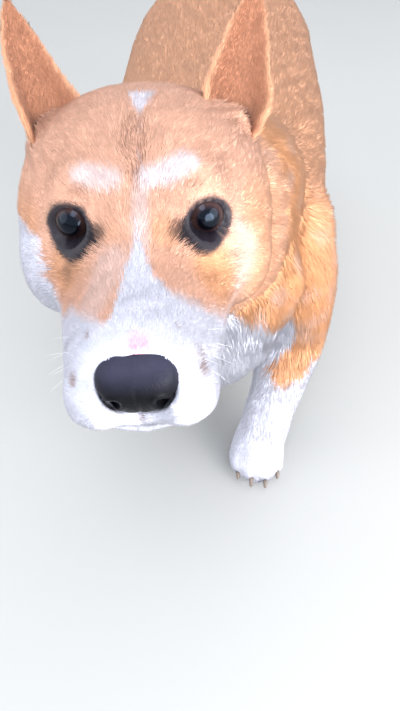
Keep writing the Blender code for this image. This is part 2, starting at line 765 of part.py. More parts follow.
clear_scene()
FAWN = surface("coat_fawn", (0.80, 0.46, 0.22), 0.80)
WHITE = surface("coat_white", (0.90, 0.88, 0.87), 0.80)
EYE = surface("eye", (0.03, 0.018, 0.012), 0.08)
LEATHER = surface("nose_leather", (0.02, 0.02, 0.022), 0.40)
HORN = surface("claw_horn", (0.35, 0.30, 0.27), 0.45)

part_body(whole_form(FAWN))
face_pieces(bpy.data.objects["head"], WHITE, EYE, LEATHER)
for ear_name in EARS:
    make_ear(ear_name, bpy.data.objects["head"], FAWN)
for leg_name in LEGS:
    make_claws(leg_name, HORN)
for piece in bpy.context.scene.objects:
    if piece.name.startswith(WHITE_PIECES):
        piece.data.materials[0] = WHITE
centre_origin()
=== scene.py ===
import math
import time

import bpy
import numpy as np
from mathutils import Euler, Matrix, Vector
from mathutils.bvhtree import BVHTree
from mathutils.kdtree import KDTree

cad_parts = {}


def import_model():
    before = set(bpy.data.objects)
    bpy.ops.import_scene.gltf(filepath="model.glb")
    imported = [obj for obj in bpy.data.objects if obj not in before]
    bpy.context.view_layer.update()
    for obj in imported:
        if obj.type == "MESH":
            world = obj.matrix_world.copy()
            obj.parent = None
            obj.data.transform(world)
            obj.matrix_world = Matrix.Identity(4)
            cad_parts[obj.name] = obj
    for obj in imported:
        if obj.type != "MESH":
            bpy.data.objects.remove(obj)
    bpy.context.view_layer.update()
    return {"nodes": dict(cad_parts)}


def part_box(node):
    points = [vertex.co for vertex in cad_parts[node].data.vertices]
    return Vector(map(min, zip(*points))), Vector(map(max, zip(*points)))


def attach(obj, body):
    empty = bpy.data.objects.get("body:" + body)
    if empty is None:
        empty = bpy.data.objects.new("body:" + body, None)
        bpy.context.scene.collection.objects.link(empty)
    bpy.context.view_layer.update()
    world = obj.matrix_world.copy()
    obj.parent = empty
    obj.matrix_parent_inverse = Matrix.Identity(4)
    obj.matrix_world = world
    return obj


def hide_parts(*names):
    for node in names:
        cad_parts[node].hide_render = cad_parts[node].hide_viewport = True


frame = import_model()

startTime = time.time()
rng = np.random.default_rng(27)


def report(text):
    print("corgi:", text, round(time.time() - startTime, 1), "s")


# how the head is carried, as the solids have it: the point midway between the eyes, turns in degrees
head = {"at": (-0.0290, -0.3020, 0.3010), "pitch": -8.0, "yaw": 5.0, "roll": -2.0,
        "eyeOut": 0.0262, "eyeBack": 0.0100, "eyeRadius": 0.0108, "gazeOut": 12.0, "gazeUp": -1.0}
turns = [math.radians(head[key]) for key in ("pitch", "roll", "yaw")]
headMatrix = Matrix.Translation(head["at"]) @ Euler(turns, "YXZ").to_matrix().to_4x4()
eyeLow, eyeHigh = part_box("eye_left")
shift = (eyeLow + eyeHigh) / 2 - headMatrix @ Vector((head["eyeOut"], head["eyeBack"], 0))
headMatrix = Matrix.Translation(shift) @ headMatrix
headArray = np.array(headMatrix)
headInverse = np.array(headMatrix.inverted())


def inHead(points):
    return points @ headInverse[:3, :3].T + headInverse[:3, 3]


def fromHead(points):
    return points @ headArray[:3, :3].T + headArray[:3, 3]


def headWay(ways):
    # directions of the head's own frame as the world has them
    return ways @ headArray[:3, :3].T


def inBody(points):
    return points - np.array(shift)


# the camera stands over the dog's nose and looks down; its reach and its picture's height are in pixels
cameraSet = {"at": (0.0078, -0.5203, 0.44), "down": 44.5, "turn": 3.0, "sensor": 36, "reach": 610,
             "high": 711}
down, turn = math.radians(cameraSet["down"]), math.radians(cameraSet["turn"])
gaze = Vector((-math.sin(turn) * math.cos(down), math.cos(turn) * math.cos(down), -math.sin(down)))
bpy.ops.object.camera_add(location=Vector(cameraSet["at"]) + shift,
                          rotation=gaze.to_track_quat("-Z", "Y").to_euler())
camera = bpy.context.object
camera.data.sensor_fit = "VERTICAL"
camera.data.sensor_height = cameraSet["sensor"]
camera.data.lens = cameraSet["reach"] / cameraSet["high"] * cameraSet["sensor"]
camera.data.clip_start = 0.01
bpy.context.scene.camera = camera


# small helpers for fields over the surface

def smooth(low, high, value):
    # rises from 0 to 1 between two limits
    share = np.clip((value - low) / (high - low), 0, 1)
    return share * share * (3 - 2 * share)


def fade(low, high, value):
    # falls from 1 to 0 between two limits
    return 1 - smooth(low, high, value)


def hump(value, width):
    # 1 at zero, falling away on either side
    return np.exp(-(value / width) ** 2)


def unit(vectors):
    return vectors / np.maximum(np.linalg.norm(vectors, axis=-1, keepdims=True), 1e-12)


def towards(values, goal, share):
    # moves values part of the way to a goal
    return values + (goal - values) * (share[:, None] if values.ndim == 2 else share)


def waves(points, size, seed, terms=7):
    # a smooth random field, between about -1 and 1
    dice = np.random.default_rng(seed)
    ways = unit(dice.normal(size=(terms, 3))) * (2 * math.pi / size) * dice.uniform(0.6, 1.5, (terms, 1))
    return np.sin(points @ ways.T + dice.uniform(0, 2 * math.pi, terms)).sum(1) / math.sqrt(terms)


def daub(points, radius, start, end=None):
    # 1 at a place, or all the way between two, falling to 0 at the radius
    away = points - np.array(start)
    if end is not None:
        run = np.array(end) - np.array(start)
        away = away - np.clip(away @ run / (run @ run), 0, 1)[:, None] * run
    return fade(0.35, 1.0, np.linalg.norm(away / np.array(radius), axis=1))


def daubs(points, marks):
    # the strongest of several daubs, each given as its share, its radius and its place or ends
    value = np.zeros(len(points))
    for share, radius, *ends in marks:
        value = np.maximum(value, share * daub(points, radius, *ends))
    return value


def bothSides(marks):
    return [(share, radius, *[(x * side, y, z) for x, y, z in ends])
            for share, radius, *ends in marks for side in (1, -1)]


def relax(values, edges, amount, steps):
    # moves each value towards the mean of its neighbours
    count = len(values)
    both = np.concatenate([edges, edges[:, ::-1]])
    degree = np.maximum(np.bincount(both[:, 0], minlength=count), 1)
    for step in range(steps):
        for axis in range(values.shape[1]):
            mean = np.bincount(both[:, 0], values[both[:, 1], axis], minlength=count) / degree
            values[:, axis] += amount * (mean - values[:, axis])
    return values


# small helpers for meshes

def gridFaces(rows, columns, wrapRows=False, wrapColumns=False):
    # pairs of triangles over a grid of points, which may close on itself either way
    row, column = np.meshgrid(np.arange(rows if wrapRows else rows - 1),
                              np.arange(columns if wrapColumns else columns - 1), indexing="ij")
    row, column = row.ravel(), column.ravel()
    after, below = (column + 1) % columns, (row + 1) % rows
    quads = np.stack([row * columns + column, row * columns + after, below * columns + after,
                      below * columns + column], 1)
    return triangles(quads)


def triangles(quads):
    return np.concatenate([quads[:, [0, 1, 2]], quads[:, [0, 2, 3]]])


def outward(points, faces):
    # turns a closed shell's faces so that they point out of it
    volume = np.einsum("ij,ij->", points[faces[:, 0]], np.cross(points[faces[:, 1]], points[faces[:, 2]]))
    return faces if volume > 0 else faces[:, ::-1]


def meshFrom(name, points, faces):
    mesh = bpy.data.meshes.new(name)
    mesh.vertices.add(len(points))
    mesh.vertices.foreach_set("co", np.asarray(points, np.float32).ravel())
    mesh.loops.add(faces.size)
    mesh.loops.foreach_set("vertex_index", faces.ravel().astype(np.int32))
    mesh.polygons.add(len(faces))
    mesh.polygons.foreach_set("loop_start", (np.arange(len(faces)) * 3).astype(np.int32))
    mesh.polygons.foreach_set("use_smooth", np.ones(len(faces), bool))
    mesh.update(calc_edges=True)
    return mesh


def pieceFrom(mesh, material):
    piece = bpy.data.objects.new(mesh.name, mesh)
    bpy.context.scene.collection.objects.link(piece)
    mesh.materials.append(material)
    return piece


def setValues(mesh, name, values):
    kind = "FLOAT_VECTOR" if values.ndim == 2 else "FLOAT"
    layer = mesh.attributes.new(name, kind, "POINT")
    layer.data.foreach_set("vector" if values.ndim == 2 else "value", np.asarray(values, np.float32).ravel())


def readAll(items, key, width, kind=np.float32):
    # one value of every vertex, edge or face of a mesh
    values = np.empty(len(items) * width, kind)
    items.foreach_get(key, values)
    return values.reshape(-1, width)


def pointsOf(mesh):
    return readAll(mesh.vertices, "co", 3).astype(float)


def normalsOf(mesh):
    return readAll(mesh.vertices, "normal", 3).astype(float)


def edgesOf(mesh):
    return readAll(mesh.edges, "vertices", 2, np.int32)


def movePoints(mesh, points):
    mesh.vertices.foreach_set("co", np.asarray(points, np.float32).ravel())
    mesh.update()


def selectOnly(*pieces):
    bpy.ops.object.select_all(action="DESELECT")
    for piece in pieces:
        piece.select_set(True)
    bpy.context.view_layer.objects.active = pieces[0]


def joined(name, pieces):
    selectOnly(*pieces)
    bpy.ops.object.join()
    bpy.context.object.name = name
    return bpy.context.object


def inEditMode(work, *pieces):
    # runs one operator on all of some pieces' meshes
    selectOnly(*pieces)
    bpy.ops.object.mode_set(mode="EDIT")
    bpy.ops.mesh.select_all(action="SELECT")
    work()
    bpy.ops.object.mode_set(mode="OBJECT")


def mergeDoubles():
    bpy.ops.mesh.remove_doubles(threshold=0.00002)


def twinOf(name):
    # a copy of a node of the solids, with its own mesh and none of the node's marks
    twin = frame["nodes"][name].copy()
    twin.data = twin.data.copy()
    twin.data.materials.clear()
    twin.parent = None
    for key in list(twin.keys()):
        del twin[key]
    bpy.context.scene.collection.objects.link(twin)
    return twin


def modified(piece, kind, **settings):
    # adds one modifier by name and applies it
    selectOnly(piece)
    made = piece.modifiers.new(kind.lower(), kind)
    for key, value in settings.items():
        setattr(made, key, value)
    bpy.ops.object.modifier_apply(modifier=made.name)


# where the parts of the dog lie

eyeOpening = {"wide": 0.0094, "tall": 0.0083, "lid": 0.0015, "hollow": 0.0014, "near": 0.026,
              "behind": -0.004,
              "around": 0.016}


def gazeFrame(side, gazeOut=head["gazeOut"], gazeUp=head["gazeUp"]):
    # across (outwards), ahead and up, as the eye's opening has them in the head's frame
    out, up = math.radians(gazeOut) * side, math.radians(gazeUp)
    level = np.array((math.sin(out), -math.cos(out), 0))
    ahead = level * math.cos(up) + np.array((0, 0, math.sin(up)))
    across = np.array((math.cos(out), math.sin(out), 0)) * side
    return np.stack([across, ahead, np.array((0, 0, math.cos(up))) - level * math.sin(up)])


def eyeCentre(side):
    return np.array((head["eyeOut"] * side, head["eyeBack"], 0))


def eyeSpace(points, side):
    # across, ahead and up from the middle of an eyeball, and whether a point is near it
    across, ahead, up = gazeFrame(side) @ (inHead(points) - eyeCentre(side)).T
    return across, ahead, up, np.sqrt(across ** 2 + ahead ** 2 + up ** 2) < eyeOpening["near"]


def fromEye(places, side):
    # from the gaze's own frame back to the world
    return fromHead(places @ gazeFrame(side) + eyeCentre(side))


def lidReach(points):
    # 1 on the edge of the nearer eye's opening, more outside it
    reach = np.full(len(points), 9.0)
    for side in (1, -1):
        across, ahead, up, near = eyeSpace(points, side)
        value = np.hypot(across / eyeOpening["wide"], up / eyeOpening["tall"])
        reach = np.where(near & (ahead > eyeOpening["behind"]), np.minimum(reach, value), reach)
    return reach


mouthLine = {"y": (-0.085, -0.066, -0.044, -0.020, -0.012),
             "z": (-0.0468, -0.0458, -0.0436, -0.0402, -0.0405),
             "corner": -0.010}


def mouthGap(at):
    # how far from the line of the closed mouth a point of the head's frame lies, below 0 under it
    gap = at[:, 2] - np.interp(at[:, 1], mouthLine["y"], mouthLine["z"])
    return np.where(at[:, 1] < mouthLine["corner"], gap, np.hypot(gap, at[:, 1] - mouthLine["corner"]))


# soft limits between the parts, in metres: the head's in its own frame, the others in the body's
partLimits = {"headBack": (0.075, 0.105), "headLow": (-0.10, -0.075), "muzzleBack": (-0.030, -0.008),
              "foreFrom": (-0.21, -0.16), "foreTo": (-0.06, -0.03), "foreTop": (0.10, 0.17),
              "hindFrom": (0.10, 0.14), "hindTop": (0.11, 0.19), "legTop": (0.085, 0.098),
              "upperLeg": (0.09, 0.16),
              "pawTop": (0.026, 0.040), "neckBack": (-0.19, -0.12), "neckLow": (0.085, 0.11),
              "chestTop": (0.22, 0.27),
              "tailFrom": (0.262, 0.282), "tailLow": (0.19, 0.205), "breechFrom": (0.225, 0.255),
              "breechLow": (0.10, 0.13), "breechTop": (0.19, 0.22)}


def past(limit, value):
    return smooth(*partLimits[limit], value)


def before(limit, value):
    return fade(*partLimits[limit], value)


def onTheHead(at):
    return before("headBack", at[:, 1]) * past("headLow", at[:, 2])


def regions(points, normals):
    # soft masks for the parts of the dog
    at = inHead(points)
    x, y, z = inBody(points).T
    onHead = onTheHead(at)
    front = past("foreFrom", y) * before("foreTo", y)
    leg = np.maximum(front * before("foreTop", z), past("hindFrom", y) * before("hindTop", z))
    leg = np.maximum(leg, before("legTop", z)) * (1 - onHead)
    neck = (1 - onHead) * before("neckBack", y) * past("neckLow", z)
    facesFront = smooth(0.10, 0.4, -normals[:, 1] - 0.3 * normals[:, 2])
    breech = past("breechFrom", y) * past("breechLow", z) * before("breechTop", z)
    return {"head": onHead, "muzzle": onHead * before("muzzleBack", at[:, 1]), "leg": leg,
            "paw": before("pawTop", z),
            "neck": neck, "chest": neck * facesFront * before("chestTop", z),
            "tail": past("tailFrom", y) * past("tailLow", z),
            "breech": breech * smooth(0.2, 0.7, normals[:, 1]),
            "belly": (1 - leg) * (1 - onHead) * smooth(0.3, 0.8, -normals[:, 2])}


def mixed(parts, values):
    # one value over the whole dog, from its value on each part
    total = np.full(len(parts["head"]), float(values["plain"]))
    for key in values:
        if key in parts:
            total = towards(total, values[key], parts[key])
    return total


# the coat on each part, in metres: how deep it is, and how long and wide its tufts are
coatSet = {
    "depth": {"plain": 0.0032, "belly": 0.0034, "neck": 0.0036, "chest": 0.0050, "breech": 0.0075,
              "tail": 0.0060,
              "leg": 0.0015, "paw": 0.0010, "head": 0.0012, "muzzle": 0.0009, "cheek": 0.0034,
              "upperLeg": 0.0036,
              "eyelid": 0.0003},
    "length": {"plain": 0.0220, "belly": 0.0200, "neck": 0.0220, "chest": 0.0270, "breech": 0.0340,
               "tail": 0.0300,
               "leg": 0.0100, "head": 0.0076, "muzzle": 0.0046, "upperLeg": 0.0180, "foot": 0.0062,
               "cheek": 0.0170},
    "width": {"plain": 0.0013, "neck": 0.0010, "chest": 0.0011, "breech": 0.0014, "leg": 0.0009,
              "head": 0.0005,
              "muzzle": 0.00042, "upperLeg": 0.0012, "foot": 0.0007, "cheek": 0.0008},
    "density": {"plain": 1.0, "muzzle": 1.5},
}


def coatDepth(points, normals):
    # how far the skin lies under the tips of the coat, which is next to nothing on the eyelids
    parts = regions(points, normals)
    at = inHead(points)
    depths = coatSet["depth"]
    cheek = (parts["head"] * smooth(0.025, 0.060, at[:, 1])
             * smooth(0.025, 0.045, np.abs(at[:, 0]) - at[:, 2] * 0.5))
    depth = towards(mixed(parts, depths), depths["cheek"], cheek * 0.8)
    depth = towards(depth, depths["upperLeg"], parts["leg"] * past("upperLeg", inBody(points)[:, 2]))
    return towards(depth, depths["eyelid"], fade(1.5, 2.3, lidReach(points)))


# the skin: copies of the flesh solids become one surface, sunk by the coat's depth

skinSet = {"voxel": 0.0015, "grow": 0.0005, "bodySteps": 34, "headSteps": 5, "depthSteps": 8, "faces": 125000,
           "lowest": 0.0006, "headThinning": 0.6}
fleshNodes = [name for name in frame["nodes"] if not name.startswith(("eye", "claw", "nose"))]

noseSet = {"at": (0, -0.0700, -0.0275), "half": (0.0148, 0.0101, 0.0124), "power": 3.0, "narrow": 0.30,
           "nostril": (0.0088, -0.0046), "nostrilHalf": (0.0024, 0.0034), "nostrilTurn": 34,
           "nostrilDeep": 0.0024,
           "slit": 0.0010, "slitFrom": 0.0100, "groove": 0.0006, "inside": 0.0030}

# the hollows of the face, as depths, sizes and places: before the eyes and below them, and the chin's rise
faceHollows = bothSides([(0.0011, (0.007, 0.008, 0.008), (0.0150, -0.0080, 0.001)),
                         (0.0008, (0.012, 0.012, 0.006), (0.0280, -0.0100, -0.018))])
faceHollows.append((0.0018, (0.014, 0.016, 0.009), (0, -0.0660, -0.0520)))


def joinFlesh():
    copies = [twinOf(name) for name in fleshNodes if not name.startswith("ear")]
    inEditMode(mergeDoubles, *copies)
    for twin in copies:
        movePoints(twin.data, pointsOf(twin.data) + normalsOf(twin.data) * skinSet["grow"])
    for side in (1, -1):
        # the lids close over each eyeball, and openLids parts them
        bpy.ops.mesh.primitive_ico_sphere_add(subdivisions=4, radius=head["eyeRadius"] + eyeOpening["lid"],
                                              location=fromHead(eyeCentre(side)))
        copies.append(bpy.context.object)
    # the flesh closes behind the nose leather
    bpy.ops.mesh.primitive_ico_sphere_add(subdivisions=4, radius=1)
    core = bpy.context.object
    places = (unit(pointsOf(core.data)) * (np.array(noseSet["half"]) - noseSet["inside"])
              + np.array(noseSet["at"]))
    movePoints(core.data, fromHead(places))
    form = joined("skin", copies + [core])
    modified(form, "REMESH", mode="VOXEL", voxel_size=skinSet["voxel"])
    return form


def sinkSkin(form):
    modified(form, "SMOOTH", factor=0.5, iterations=skinSet["headSteps"])
    crisp = pointsOf(form.data)
    onHead = regions(crisp, normalsOf(form.data))["head"][:, None]
    modified(form, "SMOOTH", factor=0.5, iterations=skinSet["bodySteps"])
    points = crisp * onHead + pointsOf(form.data) * (1 - onHead)
    movePoints(form.data, points)
    normals = normalsOf(form.data)
    depth = relax(coatDepth(points, normals)[:, None], edgesOf(form.data), 0.5, skinSet["depthSteps"])[:, 0]
    points = openLids(points + normals * (faceRelief(points) - depth)[:, None])
    points[:, 2] = np.maximum(points[:, 2], skinSet["lowest"])
    movePoints(form.data, points)


def openLids(points):
    # the skin goes in behind each eyeball where the lids part
    hollow = head["eyeRadius"] - eyeOpening["hollow"]
    for side in (1, -1):
        middle = fromHead(eyeCentre(side))
        away = points - middle
        gap = np.linalg.norm(away, axis=1)
        share = fade(1.0, 1.12, lidReach(points)) * (gap < eyeOpening["around"])
        points = middle + away * (1 + (np.minimum(hollow / gap, 1) - 1) * share)[:, None]
    return points


def faceRelief(points):
    # folds of the face, along the skin's normal: the mouth, the lips, the split under the nose and the furrow
    at = inHead(points)
    x, y, z = at.T
    gap = mouthGap(at)
    relief = -0.0010 * hump(gap, 0.0013) * fade(-0.014, -0.008, y)
    relief += 0.0008 * hump(gap - 0.0045, 0.003) * fade(-0.03, -0.01, y)
    relief -= 0.0005 * hump(x, 0.0011) * fade(-0.072, -0.066, y) * smooth(-0.046, -0.044, z)
    relief -= (0.0010 * hump(x, 0.0045) * smooth(-0.016, -0.004, y) * fade(0.03, 0.05, y)
               * smooth(0.0, 0.01, z))
    for share, radius, place in faceHollows:
        relief -= share * daub(at, radius, place)
    return relief * onTheHead(at)


def thinSkin(form):
    # fewer faces on the body than on the face
    onFace = regions(pointsOf(form.data), normalsOf(form.data))["head"] > 0.5
    thin = form.vertex_groups.new(name="thin")
    thin.add(np.where(~onFace)[0].tolist(), 1.0, "REPLACE")
    thin.add(np.where(onFace)[0].tolist(), skinSet["headThinning"], "REPLACE")
    modified(form, "DECIMATE", ratio=skinSet["faces"] / (2 * len(form.data.polygons)), vertex_group="thin",
             vertex_group_factor=1.0)
    modified(form, "TRIANGULATE")


skinForm = joinFlesh()
sinkSkin(skinForm)
thinSkin(skinForm)
report("skin form made")


# the ears: the leaves that the solids have, finer and thin at their rims

earSet = {"length": 0.0805, "half": 0.0150, "rooted": 0.0110, "sunk": 0.0150, "lean": 0.0089, "belly": 0.065,
          "point": 2.2, "least": 0.0012, "rootRoll": 110, "tipRoll": 27, "taper": 0.45, "taperEnd": 0.30,
          "dive": 0.014,
          "rows": 46, "columns": 32, "thick": 0.0022, "rim": 0.0007, "rimRoll": 0.0016, "ridge": 0.0005}
# each ear's root, the way to its tip and the way that its hollow faces
ears = {"ear_left": ((0.0433, 0.0621, 0.0220), (0.203, 0.725, 0.620), (-0.007, -0.750, 0.090)),
        "ear_right": ((-0.0433, 0.0620, 0.0215), (-0.339, 0.730, 0.620), (0.480, -0.750, 0.162))}


def earSheet(root, tip, hollow, across, share, spread):
    # the leaf's middle surface, a trough that opens towards its tip
    narrow = (1 - np.minimum(share / earSet["taperEnd"], 1))
    half = earSet["half"] * (1 + earSet["belly"] * np.sin(math.pi * np.minimum(2 * share, 1)))
    half = half * (1 - share ** earSet["point"]) ** 0.75 * (1 - earSet["taper"] * narrow ** 1.5)
    roll = np.radians(earSet["rootRoll"] + (earSet["tipRoll"] - earSet["rootRoll"]) * share ** 0.7)
    radius = np.maximum(half, earSet["least"]) / np.sin(np.minimum(roll, math.pi / 2))
    along = (earSet["length"] + earSet["sunk"] - earSet["rooted"]) * share - earSet["sunk"]
    rimRoll = earSet["rimRoll"] * smooth(0.80, 1.0, np.abs(spread)) * (1 - share)
    lift = (earSet["lean"] * share ** 2 + radius * (1 - np.cos(roll * spread)) - rimRoll
            - earSet["dive"] * narrow ** 2)
    return (root + along[..., None] * tip + lift[..., None] * hollow
            + (radius * np.sin(roll * spread))[..., None] * across)


def makeEar(name):
    root, tip, hollow = (np.array(value, float) for value in ears[name])
    tip = unit(tip)
    across = unit(np.cross(tip, hollow))
    hollow = np.cross(across, tip)
    share, spread = np.meshgrid(np.linspace(0, 1, earSet["rows"]), np.linspace(-1, 1, earSet["columns"]),
                                indexing="ij")
    sheet = earSheet(root, tip, hollow, across, share, spread)
    normal = unit(np.cross(np.gradient(sheet, axis=0), np.gradient(sheet, axis=1)))
    if (normal[:, earSet["columns"] // 2] @ hollow).mean() < 0:
        normal = -normal
    # soft ridges run up the hollow side
    thick = (earSet["thick"] * np.sqrt(1 - 0.9 * spread ** 6) * (1 - 0.55 * share) + earSet["rim"]) / 2
    ridge = earSet["ridge"] * np.cos(spread * 9) * (1 - share) * smooth(0.1, 0.3, share)
    inner = sheet + normal * (thick + ridge)[..., None]
    outer = sheet - normal * thick[..., None]

    def bothFaces(front, back):
        return np.concatenate([front, back[:, ::-1]], axis=1)

    rings = bothFaces(inner, outer)
    rows, columns = rings.shape[:2]
    caps = []
    for first in (0, (rows - 1) * columns):
        for i in range(earSet["columns"] - 1):
            cap = [first + i, first + i + 1, first + columns - 2 - i, first + columns - 1 - i]
            caps.append(cap if first else cap[::-1])
    faces = np.concatenate([gridFaces(rows, columns, wrapColumns=True), triangles(np.array(caps))])
    lengthwise = unit(np.gradient(sheet, axis=0))
    fanned = lengthwise + 0.35 * spread[..., None] * across
    points = fromHead(rings.reshape(-1, 3))
    return {"points": points, "faces": outward(points, faces), "share": bothFaces(share, share).ravel(),
            "way": headWay(unit(bothFaces(fanned, fanned)).reshape(-1, 3)),
            "spread": np.abs(bothFaces(spread, spread)).ravel(),
            "inner": bothFaces(np.ones_like(share), np.zeros_like(share)).ravel()}


# the eyelids: a dark rim round each eyeball, open like an almond; the profile runs outwards over the lid in mm

lidSet = {"steps": 72, "corner": 1.15, "upper": 0.25,
          "profile": ((-0.1, -0.4), (0.0, 0.40), (0.10, 0.70), (0.35, 1.00), (0.8, 1.25), (1.35, 1.35),
                      (1.9, 1.15),
                      (2.4, 0.2), (1.1, -0.8))}


def makeLid(side):
    angle = np.linspace(0, 2 * math.pi, lidSet["steps"], endpoint=False)
    across = eyeOpening["wide"] * np.cos(angle)
    up = eyeOpening["tall"] * np.sign(np.sin(angle)) * np.abs(np.sin(angle)) ** lidSet["corner"]
    profile = np.array(lidSet["profile"]) / 1000
    radius = head["eyeRadius"]
    tilt = np.arcsin(np.hypot(across, up) / radius)[:, None] + profile[:, 0] / radius
    around = np.arctan2(up, across)[:, None]
    # the upper lid stands a little prouder than the lower one
    reach = radius + profile[:, 1] * (1 + lidSet["upper"] * np.sin(around))
    places = np.stack([np.sin(tilt) * np.cos(around), np.cos(tilt), np.sin(tilt) * np.sin(around)],
                      -1) * reach[..., None]
    points = fromEye(places, side).reshape(-1, 3)
    # the lower lid's edge is wet and glossy, and a painted pale bluish gleam lightens its colour there
    wet = np.zeros((lidSet["steps"], len(profile)))
    wet[:, 1:3] = fade(-0.2, 0.6, np.sin(angle) - 0.5 * np.cos(angle))[:, None]
    faces = gridFaces(*places.shape[:2], wrapRows=True, wrapColumns=True)
    return {"points": points, "faces": outward(points, faces), "wet": wet.ravel()}


# the markings, in the head's frame and the body's, in metres

markNames = ("white", "dark", "cream", "pink", "streak", "inside", "warm", "wet", "mottle")

# how far back the muzzle's white reaches, by the way round from the top of the muzzle, on either side
muzzleTop = {"y": (-0.075, -0.066, -0.057, -0.051, -0.041, -0.031, -0.022, -0.0147, -0.0048, 0.002, 0.020),
             "z": (-0.0140, -0.0114, -0.0109, -0.0097, -0.0075, -0.0048, -0.0009, 0.0056, 0.0150, 0.0198,
                   0.028)}
muzzleWhite = {
    1: ((0.000, -0.0140), (0.0022, -0.0224), (0.0061, -0.0335), (0.0131, -0.0401), (0.0248, -0.0405),
        (0.0402, -0.0372), (0.0576, -0.0290), (0.0700, -0.0200), (0.0850, -0.0120), (0.1000, -0.0050),
        (0.1200, 0.0)),
    -1: ((0.000, -0.0140), (0.0019, -0.0222), (0.0049, -0.0309), (0.0064, -0.0410), (0.0081, -0.0512),
         (0.0095, -0.0571), (0.0122, -0.0579), (0.0177, -0.0534), (0.0312, -0.0413), (0.0450, -0.0303),
         (0.0568, -0.0260), (0.0746, -0.0099), (0.0850, 0.0), (0.1000, 0.04), (0.1200, 0.10)),
}
cheekWhite = {"z": (-0.030, -0.028, -0.022, -0.014, -0.0075),
              "y": (-0.0240, -0.0100, -0.0026, 0.0013, 0.0062),
              "top": -0.0068, "from": (0.026, 0.032)}
cheekEdge = {"z": (-0.042, -0.0215, -0.0090), "y": (-0.0120, -0.0010, 0.0062), "wide": 0.0032, "share": 0.35}
crownMark = {"front": 0.0305, "long": 0.019, "half": 0.0058, "aside": 0.0022, "back": (0.051, 0.054),
             "share": 0.85}
bib = {"x": (-0.060, -0.020, 0.005, 0.020, 0.030, 0.045, 0.059, 0.0615, 0.065),
       "top": (0.290, 0.262, 0.200, 0.184, 0.176, 0.161, 0.1465, 0.134, 0.060),
       "lowX": (0.028, 0.034, 0.0424, 0.0590, 0.0615), "low": (-0.010, 0.080, 0.094, 0.1146, 0.134)}
sock = {"x": (0.0356, 0.0528, 0.0716, 0.0784), "top": (0.077, 0.0795, 0.0852, 0.0974), "otherFore": 0.080,
        "hind": 0.072, "innerRise": 0.018}

# daubs of paint, each with its share, its radius and its place or the two ends of its stroke
creamDaubs = (
    (1.00, 0.0075, (0.0050, 0.0010, 0.0190), (0.0120, 0.0035, 0.0195)),
    (1.00, 0.0082, (0.0120, 0.0035, 0.0195), (0.0205, 0.0090, 0.0222)),
    (0.75, 0.0078, (-0.0105, 0.0018, 0.0190), (-0.0212, 0.0058, 0.0205)),
    (0.50, 0.0050, (0.0020, -0.0030, 0.0150), (0.0012, -0.0220, -0.0005)),
    # painted highlight: this small pale spot below the right eye, towards its inner corner, stands for a gleam
    # on a tear
    (0.60, 0.0030, (-0.0214, -0.0126, -0.0046)),
    (0.38, 0.0130, (-0.0110, -0.0260, -0.0050), (-0.0210, -0.0480, -0.0140)),
)
neckDaub = (0.70, (0.007, 0.010, 0.010), (0.0267, -0.2188, 0.2889))
darkDaubs = bothSides([(0.85, (0.0078, 0.0095, 0.0060), (0.0150, -0.0085, 0.0005))])
darkDaubs += [(0.38, 0.0060, (-0.0260, -0.0090, -0.0100), (-0.0310, -0.0110, -0.0160))]
browHairs = ((0.70, (0.0062, 0.0050, 0.0045), (0.0236, 0.0014, 0.0156)),
             (0.70, (0.0062, 0.0055, 0.0055), (-0.0237, 0.0010, 0.0149)))
warmDaubs = ((0.75, 0.020, (0.0304, -0.0139, -0.0175)), (0.50, 0.011, (0.0111, -0.0146, 0.0024)),
             (0.60, 0.018, (-0.0300, -0.0080, -0.0150)), (0.30, 0.010, (-0.0111, -0.0146, 0.0024)))
pinkDaub = ((0.0052, 0.0075, 0.0080), (0.0013, -0.0690, -0.0128))
freckles = (
    (0.40, 0.0026, (-0.0167, -0.0578, -0.0151)), (0.30, 0.0032, (-0.0274, -0.0501, -0.0252)),
    (0.60, 0.0040, (-0.0229, -0.0689, -0.0267)), (0.35, 0.0024, (0.0153, -0.0573, -0.0141)),
    (0.65, 0.0044, (0.0234, -0.0670, -0.0259)), (0.40, 0.0042, (0.0227, -0.0623, -0.0223)),
    (0.75, 0.0017, (0.0002, -0.0740, -0.0418)),
)
# how far the dark round each eye reaches, by lidReach: level with the eye and inwards, above it and below it
eyeRim = {"level": 1.34, "inwards": 0.16, "elsewhere": 1.30, "above": {1: 1.24, -1: 1.26},
          "below": {1: 1.24, -1: 1.28}}
warmth = {"plain": 0.62, "neck": 0.90, "leg": 0.8, "head": 0.20}
mottling = {"plain": 0.50, "neck": 0.40, "leg": 0.3, "head": 0.15}


def faceMarks(at, parts, wobble):
    # shares of white and cream on the head
    hx, hy, hz = at.T
    around = np.maximum(np.abs(hx) + np.interp(hy, muzzleTop["y"], muzzleTop["z"]) - hz, 0)
    left, right = (np.interp(around, *np.array(muzzleWhite[side]).T) for side in (1, -1))
    soft = 0.0009 + np.where(hx > 0, 0.0042, 0.0040) * smooth(0.008, 0.016, around)
    white = smooth(-1, 1, (np.where(hx > 0, left, right) - hy + wobble) / soft)
    patch = smooth(-0.001, 0.001, hy - np.interp(hz, cheekWhite["z"], cheekWhite["y"]) + wobble)
    patch = patch * smooth(-0.001, 0.001, cheekWhite["top"] - hz + wobble) * smooth(*cheekWhite["from"], -hx)
    white = np.maximum(white, patch)
    wide = crownMark["half"] * np.clip((hy - crownMark["front"]) / crownMark["long"], 0, 1)
    crown = smooth(-0.0008, 0.0012, wide - np.abs(hx - crownMark["aside"]) + wobble * 0.8)
    white = np.maximum(white, crownMark["share"] * crown * fade(*crownMark["back"], hy) * (hz > 0.02))
    edge = (hump(hy - np.interp(hz, cheekEdge["z"], cheekEdge["y"]), cheekEdge["wide"])
            * smooth(0.034, 0.040, hx))
    edge = cheekEdge["share"] * edge * smooth(-0.055, -0.045, hz) * fade(-0.008, 0.002, hz)
    return white * parts["head"], np.maximum(daubs(at, creamDaubs), edge) * parts["head"]


